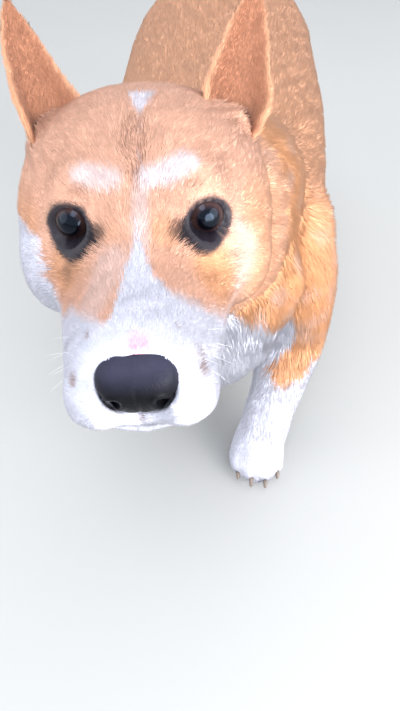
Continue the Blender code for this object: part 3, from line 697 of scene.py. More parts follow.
def bodyMarks(points, normals, parts, wobble):
    # shares of white and cream on the rest: bib, collar, socks, belly and the tail's tip
    x, y, z = inBody(points).T
    edge = wobble * 2.2 + waves(points, 0.025, 8) * 0.003

    def soft(value):
        return smooth(-0.003, 0.004, value + edge)

    white = soft(np.interp(x, bib["x"], bib["top"]) - z) * soft(z - np.interp(x, bib["lowX"], bib["low"]))
    white = white * smooth(-0.150, -0.165, y + edge)
    collar = smooth(-0.028, -0.036, x + edge) * smooth(0.310, 0.295, z + edge)
    white = np.maximum(white, collar * smooth(-0.140, -0.160, y + edge - 0.25 * (z - 0.2)))
    foreTop = np.where(x > 0, np.interp(x, sock["x"], sock["top"]), sock["otherFore"])
    legTop = np.where(y < 0, foreTop, sock["hind"])
    legTop = legTop + sock["innerRise"] * smooth(0.2, 0.9, -normals[:, 0] * np.sign(x + 0.012))
    belly = smooth(0.55, 0.80, -normals[:, 2] + edge * 20) * smooth(0.19, 0.16, z)
    for part in (soft(legTop - z), belly, smooth(0.302, 0.310, y + edge), daubs(inBody(points), [neckDaub])):
        white = np.maximum(white, part)
    cream = 0.45 * smooth(0.0, 0.7, -normals[:, 2]) * smooth(-0.10, 0.0, y) + 0.35 * parts["breech"]
    # painted light: pale cream bands run across the neck, where its rolls of fur catch the light
    cream = np.maximum(cream, 0.30 * smooth(0.2, 1.0, waves(points * (1, 1, 1.8), 0.040, 9)) * parts["neck"])
    return white * (1 - parts["head"]), cream * (1 - parts["head"])


def darkMarks(points, at, wobble):
    # the dark rims of the eyes, their inner corners, the lips and the freckles
    limit = np.full(len(points), eyeRim["elsewhere"])
    for side in (1, -1):
        across, ahead, up, near = eyeSpace(points, side)
        level = eyeRim["level"] + eyeRim["inwards"] * smooth(0.0, 0.006, -across)
        reach = towards(level, eyeRim["above"][side], smooth(0.0, 0.008, up))
        reach = reach + (eyeRim["below"][side] - level) * smooth(0.0, 0.008, -up)
        limit = np.where(near, reach, limit)
    dark = fade(-0.14, 0.16, lidReach(points) + wobble * 35 - limit)
    gap = mouthGap(at)
    lips = fade(0.0006, 0.0015, np.abs(gap + 0.0002)) * fade(-0.013, -0.008, at[:, 1])
    split = (fade(0.0004, 0.0010, np.abs(at[:, 0])) * smooth(-0.068, -0.071, at[:, 1])
             * smooth(-0.049, -0.046, at[:, 2]))
    speckled = 0.5 * daubs(at, freckles) * smooth(-0.6, 0.3, waves(points, 0.0035, 11))
    for part in (daubs(at, darkDaubs), 0.40 * lips, 0.20 * split, speckled):
        dark = np.maximum(dark, part)
    return dark


def streaks(at):
    # brown hairs in the furrow of the forehead, over the eyes and in the freckles
    hx, hy, hz = at.T
    funnel = np.interp(hy, (-0.005, 0.017, 0.034), (0.0015, 0.0085, 0.0050)) - np.abs(hx)
    furrow = (smooth(0.0, 0.003, funnel) * smooth(-0.006, 0.0, hy) * fade(0.028, 0.038, hy)
              * smooth(0.008, 0.014, hz))
    return np.maximum(furrow, np.maximum(daubs(at, browHairs), 2.4 * daubs(at, freckles)))


def markings(points, normals):
    # the share of each mark, in the order of markNames
    at = inHead(points)
    wobble = waves(points, 0.010, 5) * 0.0007 + waves(points, 0.004, 6) * 0.0005
    parts = regions(points, normals)
    faceWhite, faceCream = faceMarks(at, parts, wobble)
    bodyWhite, bodyCream = bodyMarks(points, normals, parts, wobble)
    cheeks = 0.55 * smooth(0.036, 0.050, np.abs(at[:, 0])) * fade(-0.01, 0.03, at[:, 2])
    warm = np.maximum(mixed(parts, warmth), parts["head"] * np.maximum(daubs(at, warmDaubs), cheeks))
    zero = np.zeros(len(points))
    shares = {"white": faceWhite + bodyWhite, "dark": darkMarks(points, at, wobble) * parts["head"],
              "cream": faceCream + bodyCream, "pink": daub(at, *pinkDaub), "streak": streaks(at),
              "inside": zero,
              "warm": warm, "wet": zero, "mottle": mixed(parts, mottling)}
    return np.stack([shares[name] for name in markNames], 1)


# the lie of the coat, and the size of its tufts

def faceFlow(at, parts):
    # back over the brow and the cheeks, and parted round the eyes, so that no hair lies over them
    hx, hy, hz = at.T

    def way(x, y, z):
        return np.stack(np.broadcast_arrays(x, y, z, np.zeros(len(at))), 1)[:, :3].astype(float)

    brow = way(np.clip(hx * 30, -0.7, 0.7), 0.75, 0.65 * fade(0.03, 0.07, hy))
    face = towards(way(np.sign(hx) * 0.25, 1.0, -0.50), brow, smooth(-0.016, 0.012, hz))
    muzzle = way(hx * 4, 1.0, -0.10 - 0.35 * smooth(0.010, 0.030, np.abs(hx)))
    face = towards(face, muzzle, parts["muzzle"])
    for side in (1, -1):
        apart = at - eyeCentre(side)
        gap = np.linalg.norm(apart, axis=1)
        outwards = apart / gap[:, None]
        facing = np.minimum((unit(face) * outwards).sum(1), 0) * fade(0.014, 0.026, gap)
        face = unit(face) - outwards * (facing * 1.5)[:, None]
    return headWay(unit(face))


def lieOfCoat(points, normals):
    parts = regions(points, normals)
    steep = 1 - np.abs(normals[:, 2])
    sideways = normals[:, 0]
    z = inBody(points)[:, 2]
    flow = np.stack([0.15 * sideways, 1 - 0.2 * steep, -0.65 * steep], 1)
    ways = (("belly", 0, 1.0, -0.1), ("neck", 0.45 * sideways, 0.55, -0.75),
            ("chest", 0.1 * sideways, 0.12, -1.0),
            ("breech", 0, 0.50, -0.85), ("tail", 0, 0.75, -0.65),
            ("leg", 0, 0.10 + 0.30 * smooth(0.08, 0.14, z), -1.0))
    for key, *way in ways:
        goal = np.stack(np.broadcast_arrays(*way, steep), 1)[:, :3]
        flow = towards(flow, goal, parts[key])
    onFoot = parts["leg"] * parts["paw"] * smooth(-0.6, 0.3, -normals[:, 1])
    flow = towards(flow, np.array((0, -0.90, -0.45)), onFoot)
    flow = towards(flow, faceFlow(inHead(points), parts), parts["head"])
    return flow + (waves(points, 0.030, 21) * 0.16)[:, None] * np.cross(normals, flow)


def tuftSizes(points, normals):
    # length, width, rise above the skin and density, and the zone whose piece a tuft joins
    parts = regions(points, normals)
    at = inHead(points)
    hx, hy, hz = at.T
    z = inBody(points)[:, 2]
    upper, foot = parts["leg"] * past("upperLeg", z), parts["leg"] * parts["paw"]
    cheek = parts["head"] * smooth(0.020, 0.055, hy) * smooth(0.020, 0.040, np.abs(hx) - hz * 0.5)
    length, width, thick = (mixed(parts, coatSet[key]) for key in ("length", "width", "density"))
    for key, share in (("upperLeg", upper), ("foot", foot), ("cheek", cheek)):
        length = towards(length, coatSet["length"][key], share)
        width = towards(width, coatSet["width"][key], share)
    thick = thick * (1 + 1.2 * (parts["leg"] - upper) + 0.8 * foot)
    # shorter towards the eyes, the nose leather and the mouth, and none on them or under the soles
    reach, gap = lidReach(points), mouthGap(at)
    nosePad = np.linalg.norm((at - np.array(noseSet["at"])) / (np.array(noseSet["half"]) + 0.0006), axis=1)
    for limit in (0.0016 + 0.6 * np.clip((reach - 1.2) * 0.009, 0.0001, 1),
                  0.0012 + 0.0045 * np.clip(nosePad - 1, 0, 9),
                  0.0022 + 0.35 * np.abs(gap) + 9 * smooth(-0.013, -0.004, hy)):
        length = np.minimum(length, limit)
    lips = fade(0.0004, 0.0010, np.abs(gap + 0.0002)) * fade(-0.013, -0.008, hy) * parts["head"]
    grows = smooth(1.16, 1.26, reach) * smooth(1.0, 1.06, nosePad) * smooth(0.0005, 0.0012, z) * (1 - lips)
    grows = grows * (1 - 0.80 * daub(at, *pinkDaub))
    lowLeg = (parts["leg"] > 0.5) & (z < 0.13)
    zone = np.select([parts["head"] > 0.5, lowLeg, parts["neck"] > 0.5], [0.0, 1.0, 2.0], 3.0)
    return {"length": length, "width": width, "depth": np.maximum(coatDepth(points, normals), 0.0005),
            "density": thick * grows, "zone": zone}


def skinFields(points, normals, edges):
    fields = tuftSizes(points, normals)
    fields["marks"] = markings(points, normals)
    flow = unit(lieOfCoat(points, normals))
    for step in range(4):
        flow = relax(flow, edges, 0.5, 4)
        flow = unit(flow - normals * (flow * normals).sum(1)[:, None])
    fields["flow"] = flow
    return fields


def shellMarks(count, **shares):
    # marks that a shell of its own has, by name
    marks = np.zeros((count, len(markNames)))
    for name, share in shares.items():
        marks[:, markNames.index(name)] = share
    return marks


def earFields(ear, normals):
    count = len(ear["points"])
    inner, share, spread = ear["inner"], ear["share"], ear["spread"]
    rim = smooth(0.80, 0.97, spread)
    # painted shade: the hollow side is dark near the root, where the hollow is deepest, and elsewhere a deeper
    # orange, partly the ear's own colour and partly painted shade, save at its rim
    marks = shellMarks(count, dark=0.85 * inner * fade(0.10, 0.30, share) * fade(0.35, 0.8, spread),
                       inside=inner * (1 - rim), warm=0.60, mottle=0.2)
    flow = ear["way"] - normals * (ear["way"] * normals).sum(1)[:, None]
    return {"length": 0.0048 - 0.0014 * rim + 0.004 * fade(0.0, 0.3, share), "width": np.full(count, 0.0006),
            "depth": 0.0007 + 0.0003 * rim, "zone": np.zeros(count),
            "density": np.where(inner > 0.5, 0.75 + 0.2 * rim, 0.95) * smooth(0.06, 0.12, share),
            "marks": marks, "flow": unit(flow)}


def lidFields(lid):
    # bare and dark, so the sizes of its tufts don't matter
    count = len(lid["points"])
    plain = np.full(count, 0.001)
    return {"length": plain, "width": plain, "depth": plain, "density": plain * 0, "zone": plain * 0,
            "marks": shellMarks(count, dark=1.0, wet=lid["wet"]),
            "flow": np.tile((0.0, 1.0, 0.0), (count, 1))}


def assembleSkin(form):
    # one surface: the body's form, the ears and the eyelids, with its fields
    shells = [{"points": pointsOf(form.data), "faces": readAll(form.data.polygons, "vertices", 3, np.int32)}]
    fieldSets = [skinFields(shells[0]["points"], normalsOf(form.data), edgesOf(form.data))]
    shells += [makeEar(name) for name in ears] + [makeLid(1), makeLid(-1)]
    for shell in shells[1:]:
        shape = meshFrom("shape", shell["points"], shell["faces"])
        fieldSets.append(earFields(shell, normalsOf(shape)) if "share" in shell else lidFields(shell))
        bpy.data.meshes.remove(shape)
    starts = np.cumsum([0] + [len(shell["points"]) for shell in shells])
    points = np.concatenate([shell["points"] for shell in shells])
    faces = np.concatenate([shell["faces"] + start for shell, start in zip(shells, starts)])
    fields = {key: np.concatenate([values[key] for values in fieldSets]) for key in fieldSets[0]}
    fields["isEar"] = np.concatenate([np.full(len(shell["points"]), float("share" in shell))
                                      for shell in shells])
    return points, faces, fields


skinPoints, skinFaces, skin = assembleSkin(skinForm)
bpy.data.objects.remove(skinForm)
report("skin fields made")


# small helpers for finishes

def fillSockets(tree, node, takes):
    for key, value in dict(takes).items():
        if isinstance(value, bpy.types.NodeSocket):
            tree.links.new(value, node.inputs[key])
        else:
            node.inputs[key].default_value = value
    return node


def addNode(tree, kind, takes=(), **settings):
    node = tree.nodes.new("ShaderNode" + kind)
    for key, value in settings.items():
        setattr(node, key, value)
    return fillSockets(tree, node, takes)


def blended(tree, share, first, second):
    # a mix of two colours
    return addNode(tree, "Mix", {0: share, 6: first, 7: second}, data_type="RGBA").outputs[2]


def worked(tree, operation, first, second):
    # a sum or product of two values
    return addNode(tree, "Math", {0: first, 1: second}, operation=operation).outputs[0]


def noise(tree, place, scale, detail, roughness=0.5):
    takes = {"Vector": place, "Scale": scale, "Detail": detail, "Roughness": roughness}
    return addNode(tree, "TexNoise", takes).outputs["Fac"]


def objectPlace(tree):
    return addNode(tree, "TexCoord").outputs["Object"]


def attribute(tree, name, output="Vector"):
    return addNode(tree, "Attribute", attribute_name=name).outputs[output]


def threeShares(tree, name):
    return addNode(tree, "SeparateXYZ", {0: attribute(tree, name)}).outputs


def between(tree, value, low, high, **limits):
    # a value brought from 0..1, or from given limits, to others
    takes = {"Value": value, "To Min": low, "To Max": high}
    takes.update({key.replace("from", "From "): limit for key, limit in limits.items()})
    return addNode(tree, "MapRange", takes).outputs[0]


def colour(values):
    return (*values, 1.0)


def makeGroup(name, takes, gives):
    # a node group with named sockets
    group = bpy.data.node_groups.new(name, "ShaderNodeTree")
    for socketName, kind, value in takes:
        made = group.interface.new_socket(socketName, in_out="INPUT", socket_type="NodeSocket" + kind)
        made.default_value = value
    for socketName, kind in gives:
        group.interface.new_socket(socketName, in_out="OUTPUT", socket_type="NodeSocket" + kind)
    return group, group.nodes.new("NodeGroupInput").outputs, group.nodes.new("NodeGroupOutput").inputs


def useGroup(tree, group, takes=()):
    node = tree.nodes.new("ShaderNodeGroup")
    node.node_tree = group
    return fillSockets(tree, node, takes).outputs


def makeMaterial(name, **values):
    # a Principled material with its fixed values
    material = bpy.data.materials.new(name)
    material.use_nodes = True
    tree = material.node_tree
    shader = tree.nodes["Principled BSDF"]
    for key, value in values.items():
        shader.inputs[key.replace("_", " ")].default_value = value
    return material, tree, shader.inputs


def setBump(tree, shader, height, strength, distance):
    bump = addNode(tree, "Bump", {"Strength": strength, "Distance": distance, "Height": height}).outputs[0]
    tree.links.new(bump, shader["Normal"])


coatColours = {"pale": (0.88, 0.51, 0.39), "orange": (0.88, 0.40, 0.17), "deep": (0.66, 0.29, 0.15),
               "white": (0.81, 0.81, 0.93), "cream": (0.93, 0.78, 0.79), "dark": (0.016, 0.012, 0.018),
               # the inside colour is the ears' own deeper orange, deepened as painted shade of their hollows
               "brown": (0.40, 0.20, 0.14), "pink": (0.93, 0.46, 0.58), "inside": (0.54, 0.225, 0.125),
               # the wet colour is a painted reflection, a pale bluish gleam on the lower lids' wet edges
               "wet": (0.26, 0.24, 0.32)}
coatTones = {"drift": 24.0, "driftFrom": 0.42, "rootShade": 0.12, "step": 0.10}


def makeCoatColour():
    # the coat's colour from its marks, for the skin and for the tufts alike
    group, takes, gives = makeGroup("coatColour", [("Along", "Float", 0.5), ("Tone", "Float", 0.0)],
                                    [("Color", "Color"), ("Dark", "Float"), ("Wet", "Float")])
    paint = {key: colour(value) for key, value in coatColours.items()}
    white, dark, cream = threeShares(group, "marksOne")
    pink, streak, inside = threeShares(group, "marksTwo")
    warm, wet, mottle = threeShares(group, "marksThree")
    drift = noise(group, objectPlace(group), coatTones["drift"], 3.0)
    drift = worked(group, "MULTIPLY", worked(group, "SUBTRACT", drift, coatTones["driftFrom"]), mottle)
    drift.node.use_clamp = True
    # painted shade: the tufts deepen towards their roots, down in the coat, and the skin under them with them
    below = worked(group, "MULTIPLY", worked(group, "SUBTRACT", 1.0, takes["Along"]), coatTones["rootShade"])
    shown = paint["pale"]
    for share, over in ((warm, "orange"), (drift, "deep"), (below, "deep"), (cream, "cream"),
                        (white, "white"),
                        (streak, "brown"), (inside, "inside"), (pink, "pink")):
        shown = blended(group, share, shown, paint[over])
    bright = worked(group, "ADD", worked(group, "MULTIPLY", takes["Tone"], coatTones["step"]), 1.0)
    shown = addNode(group, "HueSaturation", {"Value": bright, "Color": shown}).outputs[0]
    shown = blended(group, dark, shown, paint["dark"])
    # painted reflection: the wet edge of the lower lid takes a pale bluish gleam into its colour
    group.links.new(blended(group, wet, shown, paint["wet"]), gives["Color"])
    group.links.new(dark, gives["Dark"])
    group.links.new(wet, gives["Wet"])
    return group


def makeSoftNormal():
    # the light falls on a tuft mostly as on the body below it
    group, takes, gives = makeGroup("softNormal", [("Share", "Float", 0.6)], [("Normal", "Vector")])
    own = addNode(group, "NewGeometry").outputs["Normal"]
    mix = addNode(group, "Mix", {0: takes["Share"], 4: own, 5: attribute(group, "lie")},
                  data_type="VECTOR").outputs[1]
    group.links.new(addNode(group, "VectorMath", {0: mix}, operation="NORMALIZE").outputs[0], gives["Normal"])
    return group


coatColour, softNormal = makeCoatColour(), makeSoftNormal()


def makeCoatLook():
    material, tree, shader = makeMaterial("coat", Roughness=0.62, Specular_IOR_Level=0.22, Sheen_Weight=0.12,
                                          Sheen_Roughness=0.45)
    tuft = threeShares(tree, "tuft")
    painted = useGroup(tree, coatColour, {"Along": tuft[0], "Tone": tuft[1]})
    tree.links.new(painted["Color"], shader["Base Color"])
    tree.links.new(useGroup(tree, softNormal, {"Share": 0.68})["Normal"], shader["Normal"])
    return material


def makeSkinLook():
    # painted shade: darker between the tufts, where the coat shades the skin, but not where it is bare and
    # pink
    material, tree, shader = makeMaterial("skin", Specular_IOR_Level=0.3, Coat_Roughness=0.12)
    shaded = between(tree, threeShares(tree, "marksTwo")[0], -3.5, 0.0)
    painted = useGroup(tree, coatColour, {"Along": 0.35, "Tone": shaded})
    tree.links.new(painted["Color"], shader["Base Color"])
    tree.links.new(between(tree, painted["Dark"], 0.75, 0.42), shader["Roughness"])
    tree.links.new(painted["Wet"], shader["Coat Weight"])
    setBump(tree, shader, noise(tree, objectPlace(tree), 900.0, 4.0), 0.35, 0.0004)
    return material


coatLook, skinLook = makeCoatLook(), makeSkinLook()


# the skin piece, with its marks and an unwrap of its own shape

def setMarks(mesh, marks):
    for first, name in ((0, "marksOne"), (3, "marksTwo"), (6, "marksThree")):
        setValues(mesh, name, marks[:, first:first + 3])


def unwrap():
    bpy.ops.uv.smart_project(angle_limit=math.radians(66), island_margin=0.002)


skinPiece = pieceFrom(meshFrom("skin", skinPoints, skinFaces), skinLook)
setMarks(skinPiece.data, skin["marks"])
skinPiece.data.uv_layers.new(name="OFBake")
inEditMode(unwrap, skinPiece)
# the unwrap's place of each corner of each face
skinPlaces = readAll(skinPiece.data.uv_layers["OFBake"].data, "uv", 2).reshape(-1, 3, 2).astype(float)
skin["normal"] = normalsOf(skinPiece.data)
skinTree = BVHTree.FromPolygons(skinPoints.tolist(), skinFaces.tolist())
faceNormals = unit(skin["normal"][skinFaces].sum(1))
report("skin made")


# the coat: thin closed tufts that lie along the body

coats = {
    "coatHead": {"zone": 0, "pieces": 3, "tufts": 148000, "swing": 0.14, "clump": 0.20, "leaders": 9},
    "coatLegs": {"zone": 1, "pieces": 2, "tufts": 66000, "swing": 0.14, "clump": 0.20, "leaders": 9},
    "coatNeck": {"zone": 2, "pieces": 2, "tufts": 68000, "swing": 0.12, "clump": 0.25, "leaders": 10},
    "coatTrunk": {"zone": 3, "pieces": 2, "tufts": 90000, "swing": 0.09, "clump": 0.15, "leaders": 10},
}
tuftSet = {"sunk": 0.0004, "thick": 0.25, "patch": 0.0030, "jitter": 0.0006, "lowest": 0.0002, "raised": 0.05,
           "raise": 0.15, "streaked": 0.55, "marksAt": 0.55}

# a tuft is a spike of four triangles; its first three points, given by side and by height, stand at the root
# and the last is its tip. Each face has its corners' places across and along the tuft's patch of the unwrap
tuftPoints = ((1, 0), (-1, 0), (0, 1))
tuftFaces = {(0, 1, 3): ((-0.33, -1), (-1.0, -1), (-0.66, 1)), (1, 2, 3): ((1.0, -1), (0.33, -1), (0.66, 1)),
             (2, 0, 3): ((0.33, -1), (-0.33, -1), (0.0, 1)), (1, 0, 2): ((-0.2, -1), (0.2, -1), (0.0, -1.2))}


def sampleRoots(zone, count):
    # roots spread evenly over one zone, as thickly as its tufts are small
    corners = skinPoints[skinFaces]
    area = np.linalg.norm(np.cross(corners[:, 1] - corners[:, 0], corners[:, 2] - corners[:, 0]), axis=1) / 2
    thick = (skin["density"] / (skin["width"] * skin["length"]))[skinFaces].mean(1)
    inZone = np.round(skin["zone"][skinFaces].mean(1)) == zone
    total = np.cumsum(area * thick * inZone)
    chosen = np.searchsorted(total, (np.arange(count) + rng.random(count)) / count * total[-1])
    chosen = np.minimum(chosen, len(skinFaces) - 1)
    share = rng.random((count, 2))
    over = share.sum(1) > 1
    share[over] = 1 - share[over]
    return chosen, np.stack([1 - share.sum(1), share[:, 0], share[:, 1]], 1)


def settled(points, heights, ways, isFree):
    # brings points to their heights above the skin nearest to them, with that skin's normals
    points, ways = points.copy(), ways.copy()
    for i in np.where(~isFree)[0]:
        place, way, face, gap = skinTree.find_nearest(Vector(points[i]))
        points[i] = place
        ways[i] = faceNormals[face]
    return points + ways * heights[:, None], ways


def clumped(root, tip, way, length, plan):
    # the tips draw together into locks
    count = len(root)
    order = rng.permutation(count)[np.arange(0, count, plan["leaders"])]
    tree = KDTree(len(order))
    for i, j in enumerate(order):
        tree.insert(root[j], i)
    tree.balance()
    lead = order[[tree.find(spot)[1] for spot in root]]
    pull = plan["clump"] * rng.uniform(0.5, 1.3, count)[:, None]
    near = (1.2 * length / np.maximum(np.linalg.norm(root[lead] - root, axis=1), 1e-6) > 0.9)[:, None]
    return tip + (root[lead] + way[lead] * length[:, None] - tip) * np.minimum(pull, 0.95) * near


def tuftMarks(root, tip, at, normal, isFree):
    # the marks are those of the place that a tuft covers
    count = len(root)
    spot = root + (tip - root) * tuftSet["marksAt"] + rng.normal(0, tuftSet["jitter"], (count, 3))
    marks = np.where(isFree[:, None], at["marks"], markings(spot, normal))
    streak = markNames.index("streak")
    isStreaked = rng.random(count) < marks[:, streak] * tuftSet["streaked"]
    marks[:, streak] = isStreaked * rng.uniform(0.35, 0.85, count)
    return marks


def growTufts(name, plan):
    count = plan["tufts"]
    chosen, share = sampleRoots(plan["zone"], count)
    at = {key: (values[skinFaces[chosen]] * (share if values.ndim == 1 else share[..., None])).sum(1)
          for key, values in skin.items()}
    root = (skinPoints[skinFaces[chosen]] * share[..., None]).sum(1)
    normal = unit(at["normal"])
    flow = unit(at["flow"] - normal * (at["flow"] * normal).sum(1)[:, None])
    swing = (rng.normal(0, plan["swing"], count) + 0.16 * waves(root, 0.012, 31)
             + 0.10 * waves(root, 0.005, 32))
    way = flow * np.cos(swing)[:, None] + np.cross(normal, flow) * np.sin(swing)[:, None]
    length = at["length"] * rng.uniform(0.7, 1.25, count)
    width = at["width"] * rng.uniform(0.7, 1.2, count)
    rise = rng.uniform(0.80, 1.05, count) + tuftSet["raise"] * (rng.random(count) < tuftSet["raised"])
    height = at["depth"] * rise
    tip = clumped(root, root + way * length[:, None], way, length, plan)
    # a tuft on an ear stands free of the skin, any other follows the skin round to its tip
    isFree = at["isEar"] > 0.5
    tip, tipWay = settled(tip, height, normal, isFree)
    marks = tuftMarks(root, tip, at, normal, isFree)
    tone = rng.normal(0, 0.55, count) + 0.5 * waves(root, 0.010, 33)
    place = (skinPlaces[chosen] * share[..., None]).sum(1)
    across = unit(np.cross(unit(tip - root), normal))
    base = root - normal * tuftSet["sunk"]
    spots = [base + across * (side * width / 2)[:, None] + normal * (up * width * tuftSet["thick"])[:, None]
             for side, up in tuftPoints]
    spots = np.stack(spots + [tip], 1)
    spots[..., 2] = np.maximum(spots[..., 2], tuftSet["lowest"])
    lies = np.stack([normal, normal, normal, tipWay], 1)
    each = spots.shape[1]
    faces = np.array(list(tuftFaces))
    patch = np.array(list(tuftFaces.values())).reshape(-1, 2) / 2 * tuftSet["patch"]
    for layer in range(plan["pieces"]):
        mine = np.arange(layer, count, plan["pieces"])
        first = np.arange(len(mine))[:, None, None] * each
        mesh = meshFrom(name + str(layer + 1), spots[mine].reshape(-1, 3),
                        (faces[None] + first).reshape(-1, 3))
        setMarks(mesh, np.repeat(marks[mine], each, axis=0))
        setValues(mesh, "lie", lies[mine].reshape(-1, 3))
        setValues(mesh, "tuft", np.stack([np.tile((0.0, 0.0, 0.0, 1.0), len(mine)),
                                          np.repeat(tone[mine], each),
                                          np.zeros(len(mine) * each)], 1))
        corners = place[mine][:, None, :] + patch[None]
        mesh.uv_layers.new(name="OFBake").data.foreach_set("uv", corners.astype(np.float32).ravel())
        piece = pieceFrom(mesh, coatLook)
        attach(piece, "root")
    report(name + " grown")


for coatName, coatPlan in coats.items():
    growTufts(coatName, coatPlan)
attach(skinPiece, "root")
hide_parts(*fleshNodes)


# the eyes: balls with a clear bulge in front, a brown iris and a black pupil

# each iris's way out and up, in degrees, and its colours by the distance from the pupil's middle
eyeSet = {"looks": {1: (15, 1), -1: (18, 4)}, "bulge": 0.0008, "bulgeFrom": 0.20, "bulgeTo": 0.85,
          "segments": 72,
          "rings": 56,
          "colours": ((0.0, (0.001, 0.001, 0.002)), (0.38, (0.001, 0.001, 0.002)),
                      (0.45, (0.014, 0.007, 0.008)),
                      (0.58, (0.044, 0.020, 0.016)), (0.67, (0.026, 0.013, 0.013)),
                      (0.73, (0.003, 0.002, 0.003)),
                      (0.80, (0.060, 0.060, 0.085)), (0.92, (0.18, 0.19, 0.24)))}


def makeEyeLook():
    material, tree, shader = makeMaterial("eye", Roughness=0.13, Coat_Weight=0.06, Coat_Roughness=0.04,
                                          Specular_IOR_Level=0.24, Specular_Tint=colour((0.50, 0.70, 1.0)))
    flat = addNode(tree, "VectorMath", {0: attribute(tree, "eyePlace"), 1: (1, 1, 0)},
                   operation="MULTIPLY").outputs[0]
    away = addNode(tree, "VectorMath", {0: flat}, operation="LENGTH").outputs["Value"]
    direction = addNode(tree, "VectorMath", {0: flat}, operation="NORMALIZE").outputs[0]
    ramp = addNode(tree, "ValToRGB", {"Fac": away})
    elements = ramp.color_ramp.elements
    while len(elements) < len(eyeSet["colours"]):
        elements.new(0.5)
    for element, (spot, value) in zip(elements, eyeSet["colours"]):
        element.position = spot
        element.color = colour(value)
    fibres = between(tree, noise(tree, direction, 9.0, 5.0, 0.7), 0.6, 1.5, fromMin=0.3, fromMax=0.7)
    shown = addNode(tree, "HueSaturation", {"Value": fibres, "Color": ramp.outputs[0]}).outputs[0]
    tree.links.new(shown, shader["Base Color"])
    return material


def makeEye(name, node, side, material):
    bpy.ops.object.select_all(action="DESELECT")
    bpy.ops.mesh.primitive_uv_sphere_add(segments=eyeSet["segments"], ring_count=eyeSet["rings"],
                                         radius=head["eyeRadius"])
    ball = bpy.context.object
    ball.name = name
    radius = head["eyeRadius"]
    places = pointsOf(ball.data) / radius
    setValues(ball.data, "eyePlace", places)
    angle = np.arccos(np.clip(places[:, 2], -1, 1))
    reach = radius + eyeSet["bulge"] * fade(eyeSet["bulgeFrom"], eyeSet["bulgeTo"], angle)
    across, ahead, up = headWay(gazeFrame(side, *eyeSet["looks"][side]))
    turned = np.stack([across * side, up, ahead])
    movePoints(ball.data, fromHead(eyeCentre(side)) + places * reach[:, None] @ turned)
    ball.data.shade_smooth()
    ball.data.materials.append(material)
    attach(ball, "root")
    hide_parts(node)


eyeLook = makeEyeLook()
makeEye("eyeBallLeft", "eye_left", 1, eyeLook)
makeEye("eyeBallRight", "eye_right", -1, eyeLook)
report("eyes made")


# the nose leather: a rounded block with nostrils, their slits and the groove between them

# painted sheen: the leather is near black low down and paler and bluish towards its top, where light from
# above gleams on it
noseColoursWithPaintedSheen = {"low": (0.002, 0.002, 0.003), "top": (0.018, 0.018, 0.032), "paintedSheenPale": (0.036, 0.036, 0.062)}


def makeNoseLook():
    material, tree, shader = makeMaterial("noseLeather", Roughness=0.45, Specular_IOR_Level=0.10)
    place = objectPlace(tree)
    pebbles = addNode(tree, "TexVoronoi", {"Vector": place, "Scale": 1500.0},
                      feature="SMOOTH_F1").outputs["Distance"]
    low, top, paintedSheenPale = (colour(noseColoursWithPaintedSheen[key]) for key in ("low", "top", "paintedSheenPale"))
    # painted sheen: the paler bluish top colours blend in by the attribute high
    upper = blended(tree, noise(tree, place, 160.0, 4.0), top, paintedSheenPale)
    tree.links.new(blended(tree, attribute(tree, "high", "Fac"), low, upper), shader["Base Color"])
    tree.links.new(between(tree, pebbles, 0.34, 0.56), shader["Roughness"])
    setBump(tree, shader, pebbles, 0.45, 0.00025)
    return material


def nostrilDepth(x, z):
    # how deep the leather sinks in its nostrils, their slits and the groove, less the nostrils' raised rims
    out = np.abs(x)
    side, level = noseSet["nostril"]
    lean = math.radians(noseSet["nostrilTurn"])
    u, v = out - side, z - level
    a, b = u * math.cos(lean) + v * math.sin(lean), v * math.cos(lean) - u * math.sin(lean)
    gap = np.hypot(a / noseSet["nostrilHalf"][0], b / noseSet["nostrilHalf"][1])
    beyond = out - noseSet["slitFrom"]
    line = level - 0.0022 + 0.25 * beyond + 60 * np.maximum(beyond, 0) ** 2
    slit = noseSet["slit"] * hump(z - line, 0.0008) * smooth(-0.0020, 0.0, beyond)
    depth = np.maximum(noseSet["nostrilDeep"] * fade(0.45, 1.10, gap), slit)
    groove = noseSet["groove"] * hump(x, 0.0008) * smooth(0.0055, 0.0, z)
    return depth - 0.0005 * hump(gap - 1.45, 0.30) + groove


def makeNose():
    bpy.ops.object.select_all(action="DESELECT")
    bpy.ops.mesh.primitive_ico_sphere_add(subdivisions=6, radius=1)
    nose = bpy.context.object
    nose.name = "noseLeather"
    half, power = np.array(noseSet["half"]), noseSet["power"]
    way = unit(pointsOf(nose.data))
    x, y, z = (way * (np.abs(way) ** power).sum(1, keepdims=True) ** (-1 / power) * half).T
    low, high = smooth(-0.1, 1.0, -z / half[2]), smooth(0.2, 1.0, z / half[2])
    x = x * (1 - noseSet["narrow"] * low)
    front = smooth(0.1, 0.6, -way[:, 1])
    y = y + (0.0022 * low + 0.0016 * high) * front
    z = z + 0.0010 * smooth(0.3, 1.0, np.abs(x) / half[0]) * front
    # painted sheen: high rises towards the top of the leather, where its colour is paler
    setValues(nose.data, "high", smooth(-0.10, 0.95, z / half[2]))
    inwards = np.stack([-x * 0.25, 0 * x + half[1], -z * 0.10], 1)
    places = np.stack([x, y, z], 1) + unit(inwards) * (nostrilDepth(x, z) * front)[:, None]
    movePoints(nose.data, fromHead(places + np.array(noseSet["at"])))
    nose.data.shade_smooth()
    nose.data.materials.append(makeNoseLook())
    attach(nose, "root")
    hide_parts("nose")


makeNose()
report("nose made")


# the claws: the solids' own, rounded and shorter

clawSet = {"top": 0.0010, "share": 0.58, "grow": 0.0012, "dark": (0.09, 0.07, 0.06),
           "pale": (0.22, 0.17, 0.14)}


def makeClawLook():
    material, tree, shader = makeMaterial("claw", Roughness=0.38, Specular_IOR_Level=0.5)
    drift = noise(tree, objectPlace(tree), 220.0, 3.0)
    tree.links.new(blended(tree, drift, colour(clawSet["dark"]), colour(clawSet["pale"])),
                   shader["Base Color"])
    setBump(tree, shader, drift, 0.2, 0.0002)
    return material


